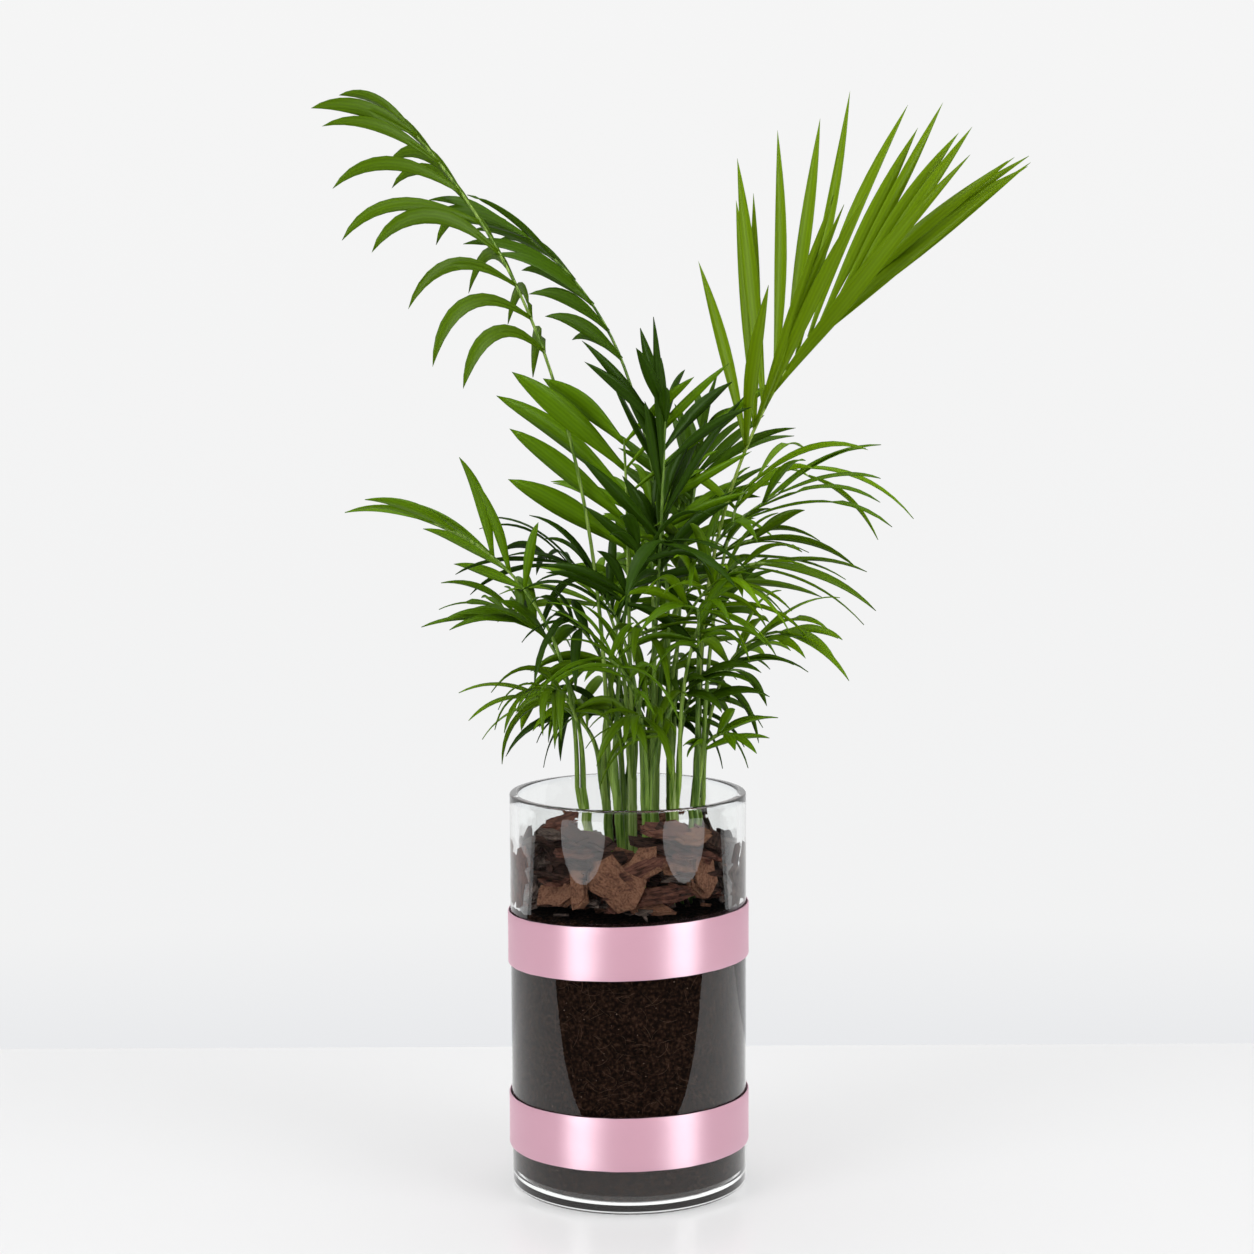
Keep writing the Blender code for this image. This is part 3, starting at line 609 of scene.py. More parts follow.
def satin():
    """Pink satin: fine warp threads round the pot, which spread the shine up and down."""
    finish, nodes, links, shader = finish_named("pink_satin", (0.64, 0.325, 0.42), 0.50)
    shader.inputs["Anisotropic"].default_value = 1.0
    shader.inputs["Anisotropic Rotation"].default_value = 0.25
    shader.inputs["IOR"].default_value = 1.9
    shader.inputs["Specular IOR Level"].default_value = 1.0
    shader.inputs["Specular Tint"].default_value = (1.0, 0.93, 1.0, 1)
    shader.inputs["Sheen Weight"].default_value = 1.0
    shader.inputs["Sheen Roughness"].default_value = 0.42
    shader.inputs["Sheen Tint"].default_value = (1.0, 0.72, 0.82, 1)
    tangent = nodes.new("ShaderNodeTangent")
    tangent.direction_type = "UV_MAP"
    tangent.uv_map = "weave"
    links.new(tangent.outputs["Tangent"], shader.inputs["Tangent"])
    threads = fine_bands(nodes, links, "weave", "Y", 1400, 1.5)
    relief(nodes, links, shader, threads, 0.00003, 0.3)
    return finish


pink = satin()
turn = 360 + RIBBON_LAP
half = RIBBON_WIDTH / 2
section = [(-half, 0), (-half, 0.6), (-half * 0.96, 1.0), (-half * 0.5, 0.93), (0, 0.9)]
section += [(-side, outer) for side, outer in reversed(section[:-1])]
for name, (height, tilt) in RIBBONS.items():
    rings = []
    for step in range(RIBBON_STEPS + 1):
        gone = turn * step / RIBBON_STEPS
        angle = math.radians(90 - RIBBON_LAP / 2 + gone)
        rise = min(1, max(0, gone - (360 - RIBBON_LAP)) / RIBBON_LAP)
        radius = POT_RADIUS + RIBBON_CLEARANCE + (RIBBON_THICKNESS + LAP_GAP) * rise
        way = Vector((math.cos(angle), math.sin(angle), 0))
        slope = way.x * POT_RADIUS * math.tan(math.radians(tilt)) - RIBBON_DIP * way.y
        ruffle = RIBBON_RUFFLE * noise.noise(Vector((gone / 9, height * 100, 0)))
        rings.append([
            way * (radius + RIBBON_THICKNESS * outer) + UP * (height + slope + side + ruffle)
            for side, outer in section
        ])
    band = tube(rings)
    weave = band.loops.layers.uv.new("weave")
    for face in band.faces:
        middle = face.calc_center_median()
        base = math.atan2(middle.y, middle.x)
        for loop in face.loops:
            p = loop.vert.co
            turn_here = math.atan2(p.y, p.x)
            turn_here += math.tau * round((base - turn_here) / math.tau)
            loop[weave].uv = (turn_here * POT_RADIUS, p.z)
    ribbon = set_in_place(name + "_satin", band, [pink], [name], sharp=50)
    length = (POT_RADIUS + RIBBON_CLEARANCE) * math.radians(turn)

# The canes
# Each seedling stands on a short green cane, ringed where old sheaths were shed and paler
# below. Its foot is flared, and its top runs out between the sheaths of its fronds.
Cane = namedtuple("Cane", "x y top lean heading face")
CANES = [
    Cane(-0.0095, -0.0020, 0.136, 9.0, 185, 70),
    Cane(-0.0050, 0.0060, 0.142, 5.0, 150, 150),
    Cane(-0.0005, -0.0065, 0.148, 5.0, 180, 180),
    Cane(0.0015, 0.0020, 0.152, 0.5, 90, 270),
    Cane(0.0060, -0.0105, 0.138, 2.0, 280, 270),
    Cane(0.0085, -0.0020, 0.156, 1.0, 20, 340),
    Cane(0.0135, -0.0075, 0.142, 4.0, 340, 310),
    Cane(0.0145, 0.0035, 0.158, 1.0, 90, 140),
    Cane(0.0195, -0.0030, 0.150, 5.0, 0, 0),
    Cane(0.0210, 0.0055, 0.131, 6.0, 10, 340),
    Cane(0.0075, 0.0085, 0.150, 3.0, 95, 90),
    Cane(-0.0005, 0.0125, 0.138, 3.0, 110, 130),
]
SEAT_GAP = 0.0003
CANE_RADIUS = 0.0015
CANE_FLARE = 1.35
CANE_SIDES = 14
CANE_RINGS = 40
CANE_RIBS = 3
CANE_SEED = 3
# Each scar of an old sheath: how far it stands out and how far it runs along the cane, and
# then the hollow above it in the same way.
SCAR = (0.07, 0.0007)
SCAR_HOLLOW = (0.04, 0.0009)
SCAR_STEP = 0.0016


def direction(heading, lean):
    """The unit vector at this heading and this angle from the vertical, in degrees."""
    h, tilt = math.radians(heading), math.radians(lean)
    return Vector((math.sin(tilt) * math.cos(h), math.sin(tilt) * math.sin(h), math.cos(tilt)))


def cane_ends(cane):
    """The cane's foot on the coir and its top, where the fronds leave it."""
    foot = Vector((cane.x, cane.y, COIR_TOP + SEAT_GAP))
    way = direction(cane.heading, cane.lean)
    return foot, foot + way * ((cane.top - foot.z) / way.z)


def cane_radius(share):
    """The cane's radius from its foot, 0, to its top, 1."""
    taper = 1 - 0.55 * max(0.0, (share - 0.72) / 0.28) ** 1.5
    return CANE_RADIUS * (1 + (CANE_FLARE - 1) * (1 - share) ** 6 + 0.08 * (1 - share)) * taper


def streaked_green(name, dark, pale, roughness):
    """Green skin with fine ribs along the stem, paler in streaks."""
    finish, nodes, links, shader = finish_named(name, pale, roughness)
    shader.inputs["Specular IOR Level"].default_value = 0.15
    streaks = grain(nodes, links, object_place(nodes), 800, 3.0, (1, 1, 0.04))
    stops = ((0.38, dark), (0.62, pale))
    links.new(shades(nodes, links, streaks, stops), shader.inputs["Base Color"])
    relief(nodes, links, shader, streaks, 0.0003, 0.5)
    return finish


cane_rng = random.Random(CANE_SEED)
cane_skins = [
    streaked_green("cane_green", (0.045, 0.105, 0.006), (0.240, 0.370, 0.075), 0.36),
    streaked_green("cane_pale", (0.150, 0.250, 0.040), (0.440, 0.560, 0.200), 0.36),
]
for index, cane in enumerate(CANES):
    foot, top = cane_ends(cane)
    scars = [cane_rng.uniform(0.16, 0.3), cane_rng.uniform(0.44, 0.58), cane_rng.uniform(0.72, 0.80)]
    rings = []
    for step in range(CANE_RINGS + 1):
        share = step / CANE_RINGS
        radius = cane_radius(share)
        for scar in scars:
            off = (share - scar) * (top - foot).length
            radius *= 1 + SCAR[0] * math.exp(-((off / SCAR[1]) ** 2))
            radius *= 1 - SCAR_HOLLOW[0] * math.exp(-(((off - SCAR_STEP) / SCAR_HOLLOW[1]) ** 2))
        centre = foot.lerp(top, share)
        rings.append([
            centre + direction(360 / CANE_SIDES * i, 90) * radius
            * (1 + 0.06 * math.cos(CANE_RIBS * math.tau * i / CANE_SIDES))
            for i in range(CANE_SIDES)
        ])
    name = "%02d" % (index + 1)
    skin = cane_skins[index % 3 == 0]
    set_in_place("cane_" + name, tube(rings), [skin], ["stem_" + name], sharp=60)

# The fronds
# A frond is a slim green stalk that runs on as the rib of the blade. Narrow, parallel-veined
# leaflets stand on both sides of the rib, folded a little along the middle, and sag.
STALK_PLACE = 0.00140
STALK_RADIUS = 0.00090
RIB_TIP_RADIUS = 0.00050
LINE_STEPS = 48
LEAFLET_STEPS = 12
LEAFLET_FOOT = 0.0021
# How far a leaflet may have been lifted to clear the others, and how near the solid's corner is.
LIFTS = (0, 7, -7, 14, -14, 22, -22, 30)
LIFT_GUESS = 10
CORNER_MATCH = 0.0002
Frond = namedtuple(
    "Frond",
    "name cane place heading stalk blade lean turn roll pairs leaf width spread vee droop tint",
)
# The last column is the painted light in a frond's greens: mid is the leaf's own green, dark is painted
# shade, and bright is painted light shining through the leaflets.
MAIN_FRONDS = [
    Frond("frond_tall_left", 2, 0, 180, 0.1326, 0.0935, (2, 19, 44), -1, -20,
          8, 0.054, 0.0052, (56, 24), (-15, -35), (2.8, 0.7), "mid"),
    Frond("frond_tall_right", 8, 1, 8, 0.0977, 0.0847, (1, 22, 51), -2, 12,
          6, 0.092, 0.0066, (42, 17), (38, 0), (0.0, 0.1), "bright"),
    Frond("frond_second_left", 7, 0, 165, 0.1203, 0.0714, (-2, 21, 64), 11, 0,
          7, 0.042, 0.0046, (42, 24), (-25, -10), (0.8, 0.5), "dark"),
    Frond("frond_centre_left", 3, 0, 260, 0.0625, 0.0442, (7, 3, 15), -3, 0,
          5, 0.056, 0.0074, (54, 40), (5, 5), (0.15, 0.15), "mid"),
    Frond("frond_low_left", 0, 1, 191, 0.0686, 0.0460, (0, 36, 75), -2, 25,
          6, 0.044, 0.0048, (56, 20), (12, 5), (0.3, 0.5), "mid"),
    Frond("frond_lower_left", 0, 0, 145, 0.0472, 0.0291, (0, 36, 86), 5, 0,
          6, 0.032, 0.0042, (60, 26), (10, 5), (0.6, 0.5), "dark"),
    Frond("frond_hanging_left", 0, 2, 240, 0.0225, 0.0300, (0, 24, 95), -6, 0,
          5, 0.031, 0.0036, (60, 30), (0, 0), (2.2, 1.8), "mid"),
    Frond("frond_arching_right", 5, 0, 335, 0.0575, 0.0423, (0, 37, 66), 3, 10,
          7, 0.044, 0.0044, (55, 24), (15, 5), (0.8, 0.6), "dark"),
    Frond("frond_high_right", 8, 0, 22, 0.0786, 0.0417, (3, 17, 139), 7, 0,
          6, 0.044, 0.0040, (55, 24), (5, 5), (0.8, 0.9), "mid"),
    Frond("frond_level_right", 6, 0, 318, 0.0629, 0.0270, (0, 33, 102), 15, 0,
          6, 0.040, 0.0044, (58, 26), (15, 5), (0.6, 0.4), "mid"),
    Frond("frond_lower_right", 9, 0, 344, 0.0457, 0.0300, (0, 27, 106), 9, 0,
          6, 0.035, 0.0040, (58, 26), (10, 5), (1.0, 0.6), "mid"),
    Frond("frond_bottom_right", 9, 2, 300, 0.0160, 0.0180, (0, 29, 97), 12, 0,
          5, 0.023, 0.0032, (50, 28), (10, 5), (0.7, 0.5), "mid"),
    Frond("frond_centre_dark", 5, 2, 280, 0.0519, 0.0623, (9, 17, 4), 3, 30,
          7, 0.044, 0.0064, (44, 24), (10, 5), (0.2, 0.2), "dark"),
    Frond("frond_centre_back", 7, 2, 77, 0.0627, 0.0442, (11, 27, 17), -14, 0,
          6, 0.042, 0.0050, (50, 24), (10, 5), (0.3, 0.3), "dark"),
]
FILL_SEED = 58
FILL_TRIES = 40
Storey = namedtuple("Storey", "stalk blade foot neck tip leaf droop")
STOREYS = [
    Storey((0.008, 0.018), (0.024, 0.032), (3, 9), (30, 52), (90, 125), (0.026, 0.031), (1.0, 2.0)),
    Storey((0.026, 0.038), (0.028, 0.038), (2, 8), (20, 42), (70, 112), (0.030, 0.037), (0.7, 1.6)),
    Storey((0.046, 0.060), (0.032, 0.044), (1, 6), (10, 28), (45, 90), (0.034, 0.042), (0.4, 1.0)),
]
FILL_PAIRS = 7
FILL_WIDTH = (0.0036, 0.0045)


def frond_line(frond):
    """The midline as (distance, point, heading, lean), from the foot of the stalk to the tip."""
    cane = CANES[frond.cane]
    point = cane_ends(cane)[1] + UP * SEAT_GAP + direction(cane.face + 120 * frond.place, 90) * STALK_PLACE
    length = frond.stalk + frond.blade
    foot, neck, tip = frond.lean
    line = []
    for step in range(LINE_STEPS + 1):
        gone = length * step / LINE_STEPS
        if gone < frond.stalk:
            lean = foot + (neck - foot) * (gone / frond.stalk) ** 1.5
        else:
            lean = neck + (tip - neck) * (gone - frond.stalk) / frond.blade
        heading = frond.heading + frond.turn * (gone / length) ** 1.5
        line.append((gone, point.copy(), heading, lean))
        point += direction(heading, lean) * (length / LINE_STEPS)
    return line


def frame_at(frond, line, gone):
    """(point, along, side, normal) of the midline at this distance."""
    share = min(gone / line[-1][0], 1) * LINE_STEPS
    low = min(int(share), LINE_STEPS - 1)
    part = share - low
    _, p, h, tilt = line[low]
    _, q, h2, tilt2 = line[low + 1]
    heading = h + (h2 - h) * part
    along = direction(heading, tilt + (tilt2 - tilt) * part)
    side = Matrix.Rotation(math.radians(frond.roll), 3, along) @ direction(heading + 90, 90)
    return p.lerp(q, part), along, side, along.cross(side)


def node_distance(frond, k):
    """How far along the midline pair k of the leaflets springs."""
    return frond.stalk + frond.blade * (k + 0.3) / frond.pairs


def leaflet_line(frond, line, k, sign, lift, opened=0):
    """A leaflet's midline as (point, along, forward, face), sagging under its own weight."""
    t = k / (frond.pairs - 1)
    length = frond.leaf * (0.55 + 0.45 * math.sin(math.pi * (0.2 + 0.72 * t)))
    point, rib, side, normal = frame_at(frond, line, node_distance(frond, k))
    if opened:
        about = Matrix.Rotation(math.radians(opened * t), 3, rib)
        side, normal = about @ side, about @ normal
    vee = math.radians(frond.vee[0] + (frond.vee[1] - frond.vee[0]) * t + lift)
    out = side * (sign * math.cos(vee)) + normal * math.sin(vee)
    angle = math.radians(frond.spread[0] + (frond.spread[1] - frond.spread[0]) * t ** 0.6)
    droop = frond.droop[0] + (frond.droop[1] - frond.droop[0]) * t
    along = rib * math.cos(angle) + out * math.sin(angle)
    face = rib.cross(out) * sign
    made = []
    for step in range(LEAFLET_STEPS + 1):
        face = (face - along * face.dot(along)).normalized()
        made.append((point.copy(), along.copy(), along.cross(face) * sign, face.copy()))
        point += along * (length / LEAFLET_STEPS)
        along = (along - UP * (droop * 2 * (step + 1) / LEAFLET_STEPS ** 2)).normalized()
    return made, length


def fill_frond(number, cane, place, attempt):
    """One of the fronds that fill the lower crown, as the rule gives it at this attempt."""
    pick = random.Random(FILL_SEED + 1000 * number + attempt).uniform
    storey = STOREYS[number % len(STOREYS)]
    return Frond(
        "frond_%02d" % (number + 1), cane, place, CANES[cane].face + 120 * place + pick(-40, 40),
        pick(*storey.stalk), pick(*storey.blade),
        (pick(*storey.foot), pick(*storey.neck), pick(*storey.tip)),
        pick(-20, 20), pick(-12, 12), FILL_PAIRS, pick(*storey.leaf), pick(*FILL_WIDTH),
        (pick(50, 62), pick(24, 30)), (pick(0, 16), 5), (pick(*storey.droop), 0.7),
        # Every other filling frond takes the dark greens, which hold painted shade.
        "dark" if number % 2 else "mid",
    )


def corners_of(node):
    """A tree of the CAD node's corners, to find which attempt it was built from."""
    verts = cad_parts[node].data.vertices
    tree = KDTree(len(verts))
    for i, vert in enumerate(verts):
        tree.insert(vert.co, i)
    tree.balance()
    return tree


def built_as(frond, corners):
    """Whether the CAD node has the last corners of this frond's rib."""
    line = frond_line(frond)
    gone = node_distance(frond, frond.pairs - 1) + LEAFLET_FOOT / 2
    point, _, _, normal = frame_at(frond, line, gone)
    radius = STALK_RADIUS + (RIB_TIP_RADIUS - STALK_RADIUS) * gone / line[-1][0]
    return corners.find(point - normal * radius)[2] < CORNER_MATCH


fronds = list(MAIN_FRONDS)
taken = {(frond.cane, frond.place) for frond in MAIN_FRONDS}
free = [(cane, place) for place in range(3) for cane in range(len(CANES)) if (cane, place) not in taken]
for number, (cane, place) in enumerate(free):
    corners = corners_of("frond_%02d" % (number + 1))
    for attempt in range(FILL_TRIES):
        frond = fill_frond(number, cane, place, attempt)
        if built_as(frond, corners):
            fronds.append(frond)
            break


def built_lift(frond, line, corners, k, sign, rng):
    """How far the solid's leaflet was lifted to clear the others, or a guess where it has none."""
    for lift in LIFTS:
        tip = leaflet_line(frond, line, k, sign, lift)[0][-1][0]
        if corners.find(tip)[2] < CORNER_MATCH:
            return lift
    return rng.uniform(-LIFT_GUESS, LIFT_GUESS)


def leaf_width(u, peak, foot, point):
    """The share of a leaflet's full width at u along it: a narrow foot, a belly and a tip."""
    if u < peak:
        s = u / peak
        return foot + (1 - foot) * (s * s * (3 - 2 * s)) ** 0.8
    return math.cos(math.pi / 2 * (u - peak) / (1 - peak)) ** point


# How far a leaflet may reach past its own frond's box, and past the whole plant's.
LEAF_STRAY = 0.007
CROWN_STRAY = 0.002
# The shares of its stray and of its frond's opening that are tried, until it is within reach.
CALMER = (1.0, 0.7, 0.45, 0.2, 0.0)
CLOSER = (1.0, 0.8, 0.6, 0.4, 0.2, 0.0)
# How much a leaflet bends sideways, twists, folds, sinks and stretches.
LEAF_SICKLE = 0.02
LEAF_TWIST = 0.5
LEAF_FOLD = (0.10, 0.35)
LEAF_SINK = 0.010
LEAF_STRETCH = (-0.010, 0.012)


def turned_to_front(along, face, share):
    """The face of a leaflet turned about its midline, this share of the way to the front."""
    front = Vector((0, -1, 0))
    front = front - along * front.dot(along)
    if face.dot(front) < 0:
        front.negate()
    return (face * (1 - share) + front.normalized() * share).normalized()


def reach_of(node):
    """The lowest and highest corner that the leaflets of this node's frond may reach."""
    low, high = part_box(node)
    return (
        [max(a - LEAF_STRAY, b - CROWN_STRAY) for a, b in zip(low, cad_low)],
        [min(a + LEAF_STRAY, b + CROWN_STRAY) for a, b in zip(high, cad_high)],
    )


def within(point, reach):
    """Whether the point lies between the two corners of a reach."""
    return all(low <= at <= high for low, at, high in zip(reach[0], point, reach[1]))


def opened_line(frond, line, k, sign, lift, opened, reach):
    """A leaflet's midline, opened to the front as far as its frond's reach lets it."""
    for share in CLOSER:
        course, length = leaflet_line(frond, line, k, sign, lift, opened * share)
        if within(course[-1][0], reach):
            break
    return course, length


def grow_leaflet(course, length, width, habit, rng, tone, reach):
    """One leaflet along its midline: a strip folded along the middle that ends in a point."""
    peak, foot, point = habit.shape
    bm = bmesh.new()
    bmesh.ops.create_grid(bm, x_segments=LEAFLET_STEPS, y_segments=2, size=1.0)
    uv = bm.loops.layers.uv.new("blade")
    sickle = rng.uniform(-LEAF_SICKLE, LEAF_SICKLE) * length
    twist = rng.uniform(-LEAF_TWIST, LEAF_TWIST)
    fold = rng.uniform(*LEAF_FOLD)
    start, _, forward, face = course[0]
    yaw, nod = rng.uniform(-1, 1), rng.uniform(-1, 1)
    sink, longer = rng.uniform(0, LEAF_SINK), rng.uniform(*LEAF_STRETCH)
    for calm in CALMER:
        loose = habit.loose * calm
        sway = Matrix.Rotation(math.radians(yaw * loose), 3, face)
        sway = sway @ Matrix.Rotation(math.radians(nod * loose), 3, forward)
        sag = UP * sink * loose * length
        stretch = habit.longer + longer * loose
        tip = start + sway @ (course[-1][0] - start) * stretch - sag
        if within(tip, reach):
            break
    spots = {v: (round((v.co.x + 1) / 2 * LEAFLET_STEPS), round(v.co.y)) for v in bm.verts}
    for vert, (station, across) in spots.items():
        u = station / LEAFLET_STEPS
        centre, along, forward, face = course[station]
        face = turned_to_front(along, face, habit.facing)
        forward = face.cross(along) * (1 if face.cross(along).dot(forward) > 0 else -1)
        half = width / 2 * leaf_width(u, peak, foot, point)
        turn = twist * math.sin(math.pi * u) * u
        side = forward * math.cos(turn) + face * math.sin(turn)
        up = face * math.cos(turn) - forward * math.sin(turn)
        place = (centre - start) * stretch
        place += forward * (sickle * math.sin(math.pi * u)) + side * (across * half)
        place += up * (abs(across) * half * fold * 2 * (1 - u * 0.6))
        vert.co = start + sway @ place - sag * u ** 2
    for face in bm.faces:
        face.material_index = tone
        for loop in face.loops:
            station, across = spots[loop.vert]
            half = width / 2 * leaf_width(station / LEAFLET_STEPS, peak, foot, point)
            loop[uv].uv = (across * half * 1000, station / LEAFLET_STEPS * length * 1000)
    tips = [vert for vert, (station, _) in spots.items() if station == LEAFLET_STEPS]
    bmesh.ops.pointmerge(bm, verts=tips, merge_co=tip)
    return bm


# How the leaflets of a frond are made. Shape gives where a leaflet is widest, its foot and how
# blunt its tip is. Broader widens it, facing turns its blade to the front, loose lets it
# stray and sag, keep is the share of the leaflets that are still on the rib, and finer is how
# many stand in the place of one. Longer stretches them, tone picks one of the greens, and right
# is the share of the width that leaflets on the right have. Opened turns the outer leaflets
# about the rib, by this many degrees at its tip.
Habit = namedtuple(
    "Habit",
    "shape broader facing loose keep finer longer tone right opened",
    defaults=(1.0, None, 1.0, 0),
)
PLAIN_SHAPE = (0.45, 0.30, 0.85)
HABITS = {
    "frond_tall_left": Habit((0.56, 0.26, 0.85), 0.92, 0.35, 7, 1.0, 1, 1.0, 1),
    "frond_tall_right": Habit((0.50, 0.28, 0.95), 0.68, 0.60, 6, 0.94, 2, 1.04, 0, 1.0, 50),
    "frond_second_left": Habit((0.50, 0.30, 0.90), 1.05, 0.30, 6, 1.0, 1),
    "frond_centre_left": Habit((0.56, 0.22, 0.80), 1.00, 0.30, 8, 1.0, 1, 1.0, 0, 0.45),
    "frond_centre_dark": Habit((0.48, 0.28, 0.90), 0.66, 0.10, 36, 0.62, 3, 1.0, 1),
    "frond_centre_back": Habit((0.48, 0.28, 0.90), 0.74, 0.10, 34, 0.62, 3, 1.0, 0),
    "frond_low_left": Habit(PLAIN_SHAPE, 0.90, 0.30, 10, 0.9, 1),
    "frond_lower_left": Habit(PLAIN_SHAPE, 0.95, 0.20, 20, 0.6, 2),
    "frond_hanging_left": Habit(PLAIN_SHAPE, 0.82, 0.20, 26, 0.45, 2, 1.0, 1),
    "frond_arching_right": Habit(PLAIN_SHAPE, 0.78, 0.20, 26, 0.75, 1, 1.22),
    "frond_high_right": Habit(PLAIN_SHAPE, 0.74, 0.20, 28, 0.65, 1, 1.22),
    "frond_level_right": Habit(PLAIN_SHAPE, 0.95, 0.20, 26, 0.8, 1),
    "frond_lower_right": Habit(PLAIN_SHAPE, 0.95, 0.20, 24, 0.55, 2),
    "frond_bottom_right": Habit(PLAIN_SHAPE, 1.10, 0.20, 24, 0.8, 1),
}
FILL_HABITS = [
    Habit(PLAIN_SHAPE, 0.86, 0.10, 38, 0.44, 2),
    Habit(PLAIN_SHAPE, 0.86, 0.10, 38, 0.50, 2),
    Habit(PLAIN_SHAPE, 0.78, 0.10, 36, 0.42, 2),
]
# The leaf greens by the frond's painted light. Mid is the leaf's own green in three tones. Dark is that
# green with painted shade, for the fronds that stand in shade, and bright is painted light shining through
# the leaflets from behind.
LEAF_GREENS_BY_PAINTED_LIGHT = {
    "mid": [(0.094, 0.196, 0.001), (0.068, 0.136, 0.001), (0.120, 0.232, 0.001)],
    "dark": [(0.044, 0.100, 0.001), (0.021, 0.054, 0.001), (0.070, 0.150, 0.001)],
    "bright": [(0.128, 0.222, 0.001), (0.155, 0.262, 0.001)],
}


def leaf_finish(name, colour):
    """Smooth leaf with fine veins along it and a soft shine. Its map is in millimetres."""
    finish, nodes, links, shader = finish_named(name, colour, 0.38)
    shader.inputs["Specular IOR Level"].default_value = 0.05
    veins = fine_bands(nodes, links, "blade", "X", 0.26, 0.6)
    stops = ((0.1, [c * 0.90 for c in colour]), (0.9, [c * 1.06 for c in colour]))
    links.new(shades(nodes, links, veins, stops), shader.inputs["Base Color"])
    relief(nodes, links, shader, veins, 0.00005, 0.20)
    return finish


# The green of the stalks, dark and pale along their streaks, by the painted light of the frond: the dark
# fronds' stalks carry painted shade, and the bright one's stalk carries painted light.
STALK_GREENS_BY_PAINTED_LIGHT = {
    "mid": ((0.070, 0.150, 0.006), (0.260, 0.390, 0.070)),
    "dark": ((0.040, 0.095, 0.004), (0.170, 0.280, 0.045)),
    "bright": ((0.140, 0.240, 0.010), (0.330, 0.440, 0.080)),
}
STALK_SIDES = 7
STALK_RINGS = 34
SHEATH = 0.030
SHEATH_FLARE = 0.15
STALK_SLIM = 0.80
RIB_END = 0.0015
RIB_END_SHARE = 0.4
# Where the sheath runs down the cane: depth below its top, radius, and share of the offset.
SHEATH_RUN = [(0.016, 0.0003, 0.70), (0.011, 0.0007, 0.80), (0.005, 0.0010, 0.90)]


def stalk_rings(frond, line):
    """The rings of the stalk and rib, sheathing the cane at the foot and fine at the tip."""
    foot, top = cane_ends(CANES[frond.cane])
    down = (foot - top).normalized()
    angles = [math.tau * i / STALK_SIDES for i in range(STALK_SIDES)]
    rings = []
    start, _, side, normal = frame_at(frond, line, 0)
    for depth, radius, share in SHEATH_RUN:
        centre = top + (start - top) * share + down * depth
        rings.append([centre + (side * math.cos(a) + normal * math.sin(a)) * radius for a in angles])
    length = node_distance(frond, frond.pairs - 1) + RIB_END
    for step in range(STALK_RINGS + 1):
        gone = length * step / STALK_RINGS
        point, _, side, normal = frame_at(frond, line, gone)
        radius = STALK_RADIUS + (RIB_TIP_RADIUS - STALK_RADIUS) * gone / line[-1][0]
        radius *= STALK_SLIM + SHEATH_FLARE * math.exp(-((gone / SHEATH) ** 1.5))
        if step == STALK_RINGS:
            radius *= RIB_END_SHARE
        rings.append([point + (side * math.cos(a) + normal * math.sin(a)) * radius for a in angles])
    return rings


LEAF_THICKNESS = 0.00028
LEAF_SEED = 77
leaf_rng = random.Random(LEAF_SEED)
# Each set of greens, with its painted light, makes one piece of leaflets and one of stalks.
for tint, tones in LEAF_GREENS_BY_PAINTED_LIGHT.items():
    blades = bmesh.new()
    stalks = bmesh.new()
    group = [frond for frond in fronds if frond.tint == tint]
    for frond in group:
        line = frond_line(frond)
        join_on(stalks, tube(stalk_rings(frond, line)))
        corners = corners_of(frond.name)
        reach = reach_of(frond.name)
        habit = HABITS.get(frond.name) or FILL_HABITS[fronds.index(frond) % len(STOREYS)]
        tone = leaf_rng.randrange(len(tones)) if habit.tone is None else habit.tone
        for k in range(frond.pairs):
            for sign in (-1, 1):
                lift = built_lift(frond, line, corners, k, sign, leaf_rng)
                for part in range(habit.finer):
                    place = k - part / habit.finer if k else part / habit.finer
                    course, length = opened_line(frond, line, place, sign, lift, habit.opened, reach)
                    width = frond.width * habit.broader * leaf_rng.uniform(0.85, 1.15)
                    width *= habit.right if sign > 0 else 1
                    if leaf_rng.random() < habit.keep:
                        leaflet = grow_leaflet(course, length, width, habit, leaf_rng, tone, reach)
                        join_on(blades, leaflet)
    names = [frond.name for frond in group]
    finishes = [leaf_finish("leaf_%s_%d" % (tint, i + 1), colour) for i, colour in enumerate(tones)]
    piece = set_in_place("leaflets_" + tint, blades, finishes, names, sharp=50)
    thicken = piece.modifiers.new("thickness", "SOLIDIFY")
    thicken.thickness = LEAF_THICKNESS
    thicken.offset = 0.0
    green = streaked_green("stalk_" + tint, *STALK_GREENS_BY_PAINTED_LIGHT[tint], 0.45)
    set_in_place("stalks_" + tint, stalks, [green], names, sharp=70)

# The studio
# A wide white table in a pale room, with a softbox on each side in front of the plant and one
# over it. In the glass the table top is a painted reflection, an even grey glow that is brighter
# to the right. Its front and far sides are a painted dark reflection, which keeps the coir behind
# the glass deep and clear. Two tall cards and two low ones shine in the glass.
TABLE_REAR = 0.170
TABLE_FRONT = -0.112
TABLE_SIDE = 0.40
TABLE_REACH = 4.0
TABLE_DROP = -0.0003
TABLE_WHITE = (0.40, 0.40, 0.402)
TABLE_GLOW = 0.42
TABLE_ROUGHNESS = 0.25
# The painted reflection runs across this reach of the table. It is seen by rays that passed fewer faces of
# glass than this. The front and far sides show a painted dark reflection.
MIRROR_REACH = 0.25
GLASS_FACES = 2.5
PAINTED_DARK_REFLECTION = (0.01, 0.01)


def mapped(nodes, links, value, start, end):
    """A value that runs over the first pair of numbers, made to run over the second."""
    node = nodes.new("ShaderNodeMapRange")
    node.inputs["From Min"].default_value, node.inputs["From Max"].default_value = start
    node.inputs["To Min"].default_value, node.inputs["To Max"].default_value = end
    links.new(value, node.inputs["Value"])
    return node.outputs["Result"]


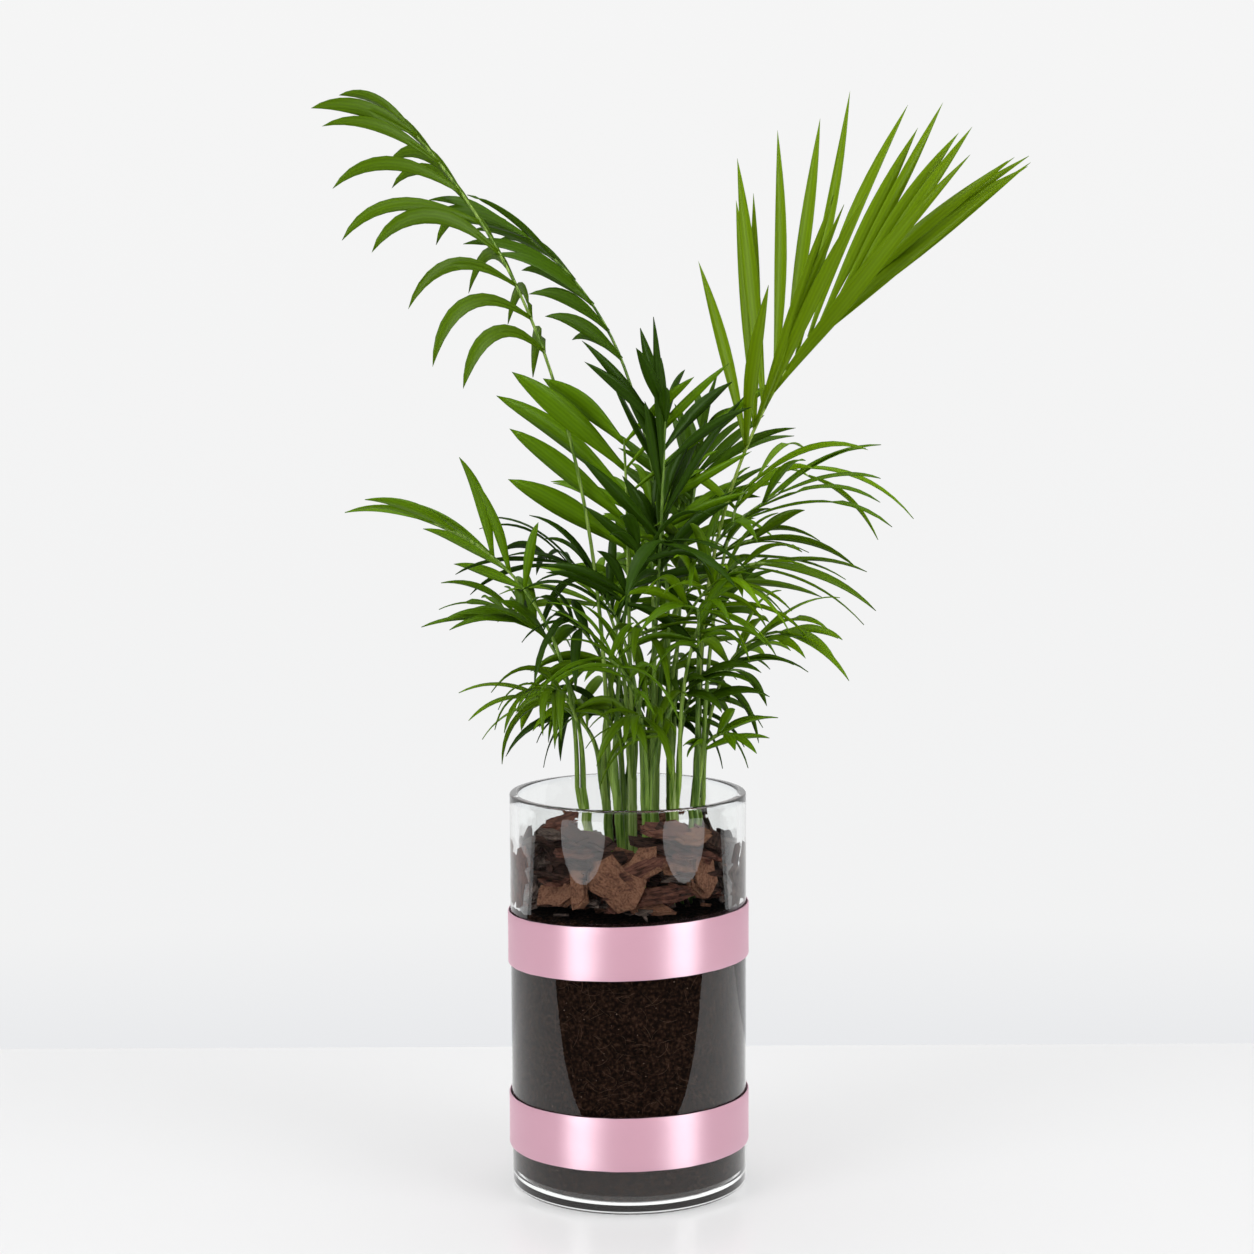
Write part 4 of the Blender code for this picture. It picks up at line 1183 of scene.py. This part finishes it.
def slab(name, low, high, painted_reflection):
    """A flat part of the table top, and how bright the painted reflection that the glass shows of it is at
    its left and right.
    """
    bm = bmesh.new()
    bmesh.ops.create_grid(bm, x_segments=1, y_segments=1, size=0.5)
    for vert in bm.verts:
        vert.co = Vector((
            low[0] if vert.co.x < 0 else high[0],
            low[1] if vert.co.y < 0 else high[1],
            TABLE_DROP,
        ))
    bmesh.ops.recalc_face_normals(bm, faces=bm.faces)
    mesh = bpy.data.meshes.new(name)
    bm.to_mesh(mesh)
    bm.free()
    finish, nodes, links, shader = finish_named(name, TABLE_WHITE, TABLE_ROUGHNESS)
    shader.inputs["Emission Color"].default_value = (1, 1, 1.005, 1)
    shader.inputs["Emission Strength"].default_value = TABLE_GLOW
    # Rays that come through or off the glass see a painted reflection in place of the lit table: a glow
    # that runs from left to right.
    rays = nodes.new("ShaderNodeLightPath").outputs
    few = reckoned(nodes, links, "LESS_THAN", rays["Transmission Depth"], GLASS_FACES)
    sees_painted_reflection = reckoned(nodes, links, "MULTIPLY", rays["Is Singular Ray"], few)
    spot = nodes.new("ShaderNodeSeparateXYZ")
    links.new(object_place(nodes), spot.inputs["Vector"])
    across = mapped(nodes, links, spot.outputs["X"], (-MIRROR_REACH, MIRROR_REACH), painted_reflection)
    painted_glow = nodes.new("ShaderNodeEmission")
    links.new(across, painted_glow.inputs["Strength"])
    choose = nodes.new("ShaderNodeMixShader")
    links.new(sees_painted_reflection, choose.inputs["Fac"])
    links.new(shader.outputs["BSDF"], choose.inputs[1])
    links.new(painted_glow.outputs["Emission"], choose.inputs[2])
    links.new(choose.outputs["Shader"], nodes["Material Output"].inputs["Surface"])
    mesh.materials.append(finish)
    made = bpy.data.objects.new(name, mesh)
    bpy.context.scene.collection.objects.link(made)


# In the glass, the middle of the table is a painted reflection that is brighter to the right, and the rest
# is a painted dark reflection.
slab("table", (-TABLE_SIDE, TABLE_FRONT), (TABLE_SIDE, TABLE_REAR), (0.92, 1.25))
slab("table_left", (-TABLE_REACH, TABLE_FRONT), (-TABLE_SIDE, TABLE_REAR), PAINTED_DARK_REFLECTION)
slab("table_right", (TABLE_SIDE, TABLE_FRONT), (TABLE_REACH, TABLE_REAR), PAINTED_DARK_REFLECTION)
slab("table_front", (-TABLE_REACH, -TABLE_REACH), (TABLE_REACH, TABLE_FRONT), PAINTED_DARK_REFLECTION)

# The room is brightest above and a little blue towards the floor, and its fill is soft.
ROOM_FILL = 0.45
ROOM_SPAN = (-0.27, 0.15)
ROOM_SHADES = [
    (0.0, (0.800, 0.810, 0.830)), (0.13, (0.885, 0.887, 0.890)), (1.0, (0.916, 0.916, 0.916)),
]
world = bpy.data.worlds.new("pale_room")
world.use_nodes = True
room = (world.node_tree.nodes, world.node_tree.links)
heading = room[0].new("ShaderNodeTexCoord")
height = room[0].new("ShaderNodeSeparateXYZ")
room[1].new(heading.outputs["Generated"], height.inputs["Vector"])
span = mapped(*room, height.outputs["Z"], ROOM_SPAN, (0, 1))
background = room[0]["Background"]
room[1].new(shades(*room, span, ROOM_SHADES), background.inputs["Color"])
rays = room[0].new("ShaderNodeLightPath").outputs
rough = reckoned(*room, "SUBTRACT", rays["Is Reflection Ray"], rays["Is Singular Ray"], clamp=True)
room[1].new(mapped(*room, rough, (0, 1), (1, ROOM_FILL)), background.inputs["Strength"])
bpy.context.scene.world = world


def softbox(name, azimuth, distance, height, size, radiance):
    """A round softbox that faces the plant. Azimuth 0 is towards the camera."""
    light = bpy.data.lights.new(name, "AREA")
    light.shape = "ELLIPSE"
    light.size, light.size_y = size
    light.energy = radiance * math.pi * math.pi * size[0] * size[1] / 4
    box = bpy.data.objects.new(name, light)
    bpy.context.scene.collection.objects.link(box)
    way = Vector((math.sin(math.radians(azimuth)), -math.cos(math.radians(azimuth)), 0))
    place = way * distance + UP * height
    aim = (Vector((0, 0, 0.18)) - place).to_track_quat("-Z", "Y")
    box.matrix_world = Matrix.Translation(place) @ aim.to_matrix().to_4x4()
    box.visible_camera = False
    return box


softbox("softbox_left", -49, 0.95, 0.80, (0.60, 1.3), 3.4)
softbox("softbox_right", 56, 0.95, 0.80, (0.60, 1.3), 3.4)
softbox("softbox_top", 180, 0.25, 1.40, (1.2, 1.0), 3.0)
for side, azimuth, low_azimuth in (("left", -49, -43), ("right", 56, 54)):
    shine = softbox("shine_" + side, azimuth, 0.90, 0.62, (0.52, 1.0), 9)
    glint = softbox("glint_" + side, low_azimuth, 0.44, 0.045, (0.355, 0.036), 2.6)
    for card in (shine, glint):
        card.visible_diffuse = False
        card.visible_transmission = False

bpy.context.scene.view_settings.view_transform = "Standard"
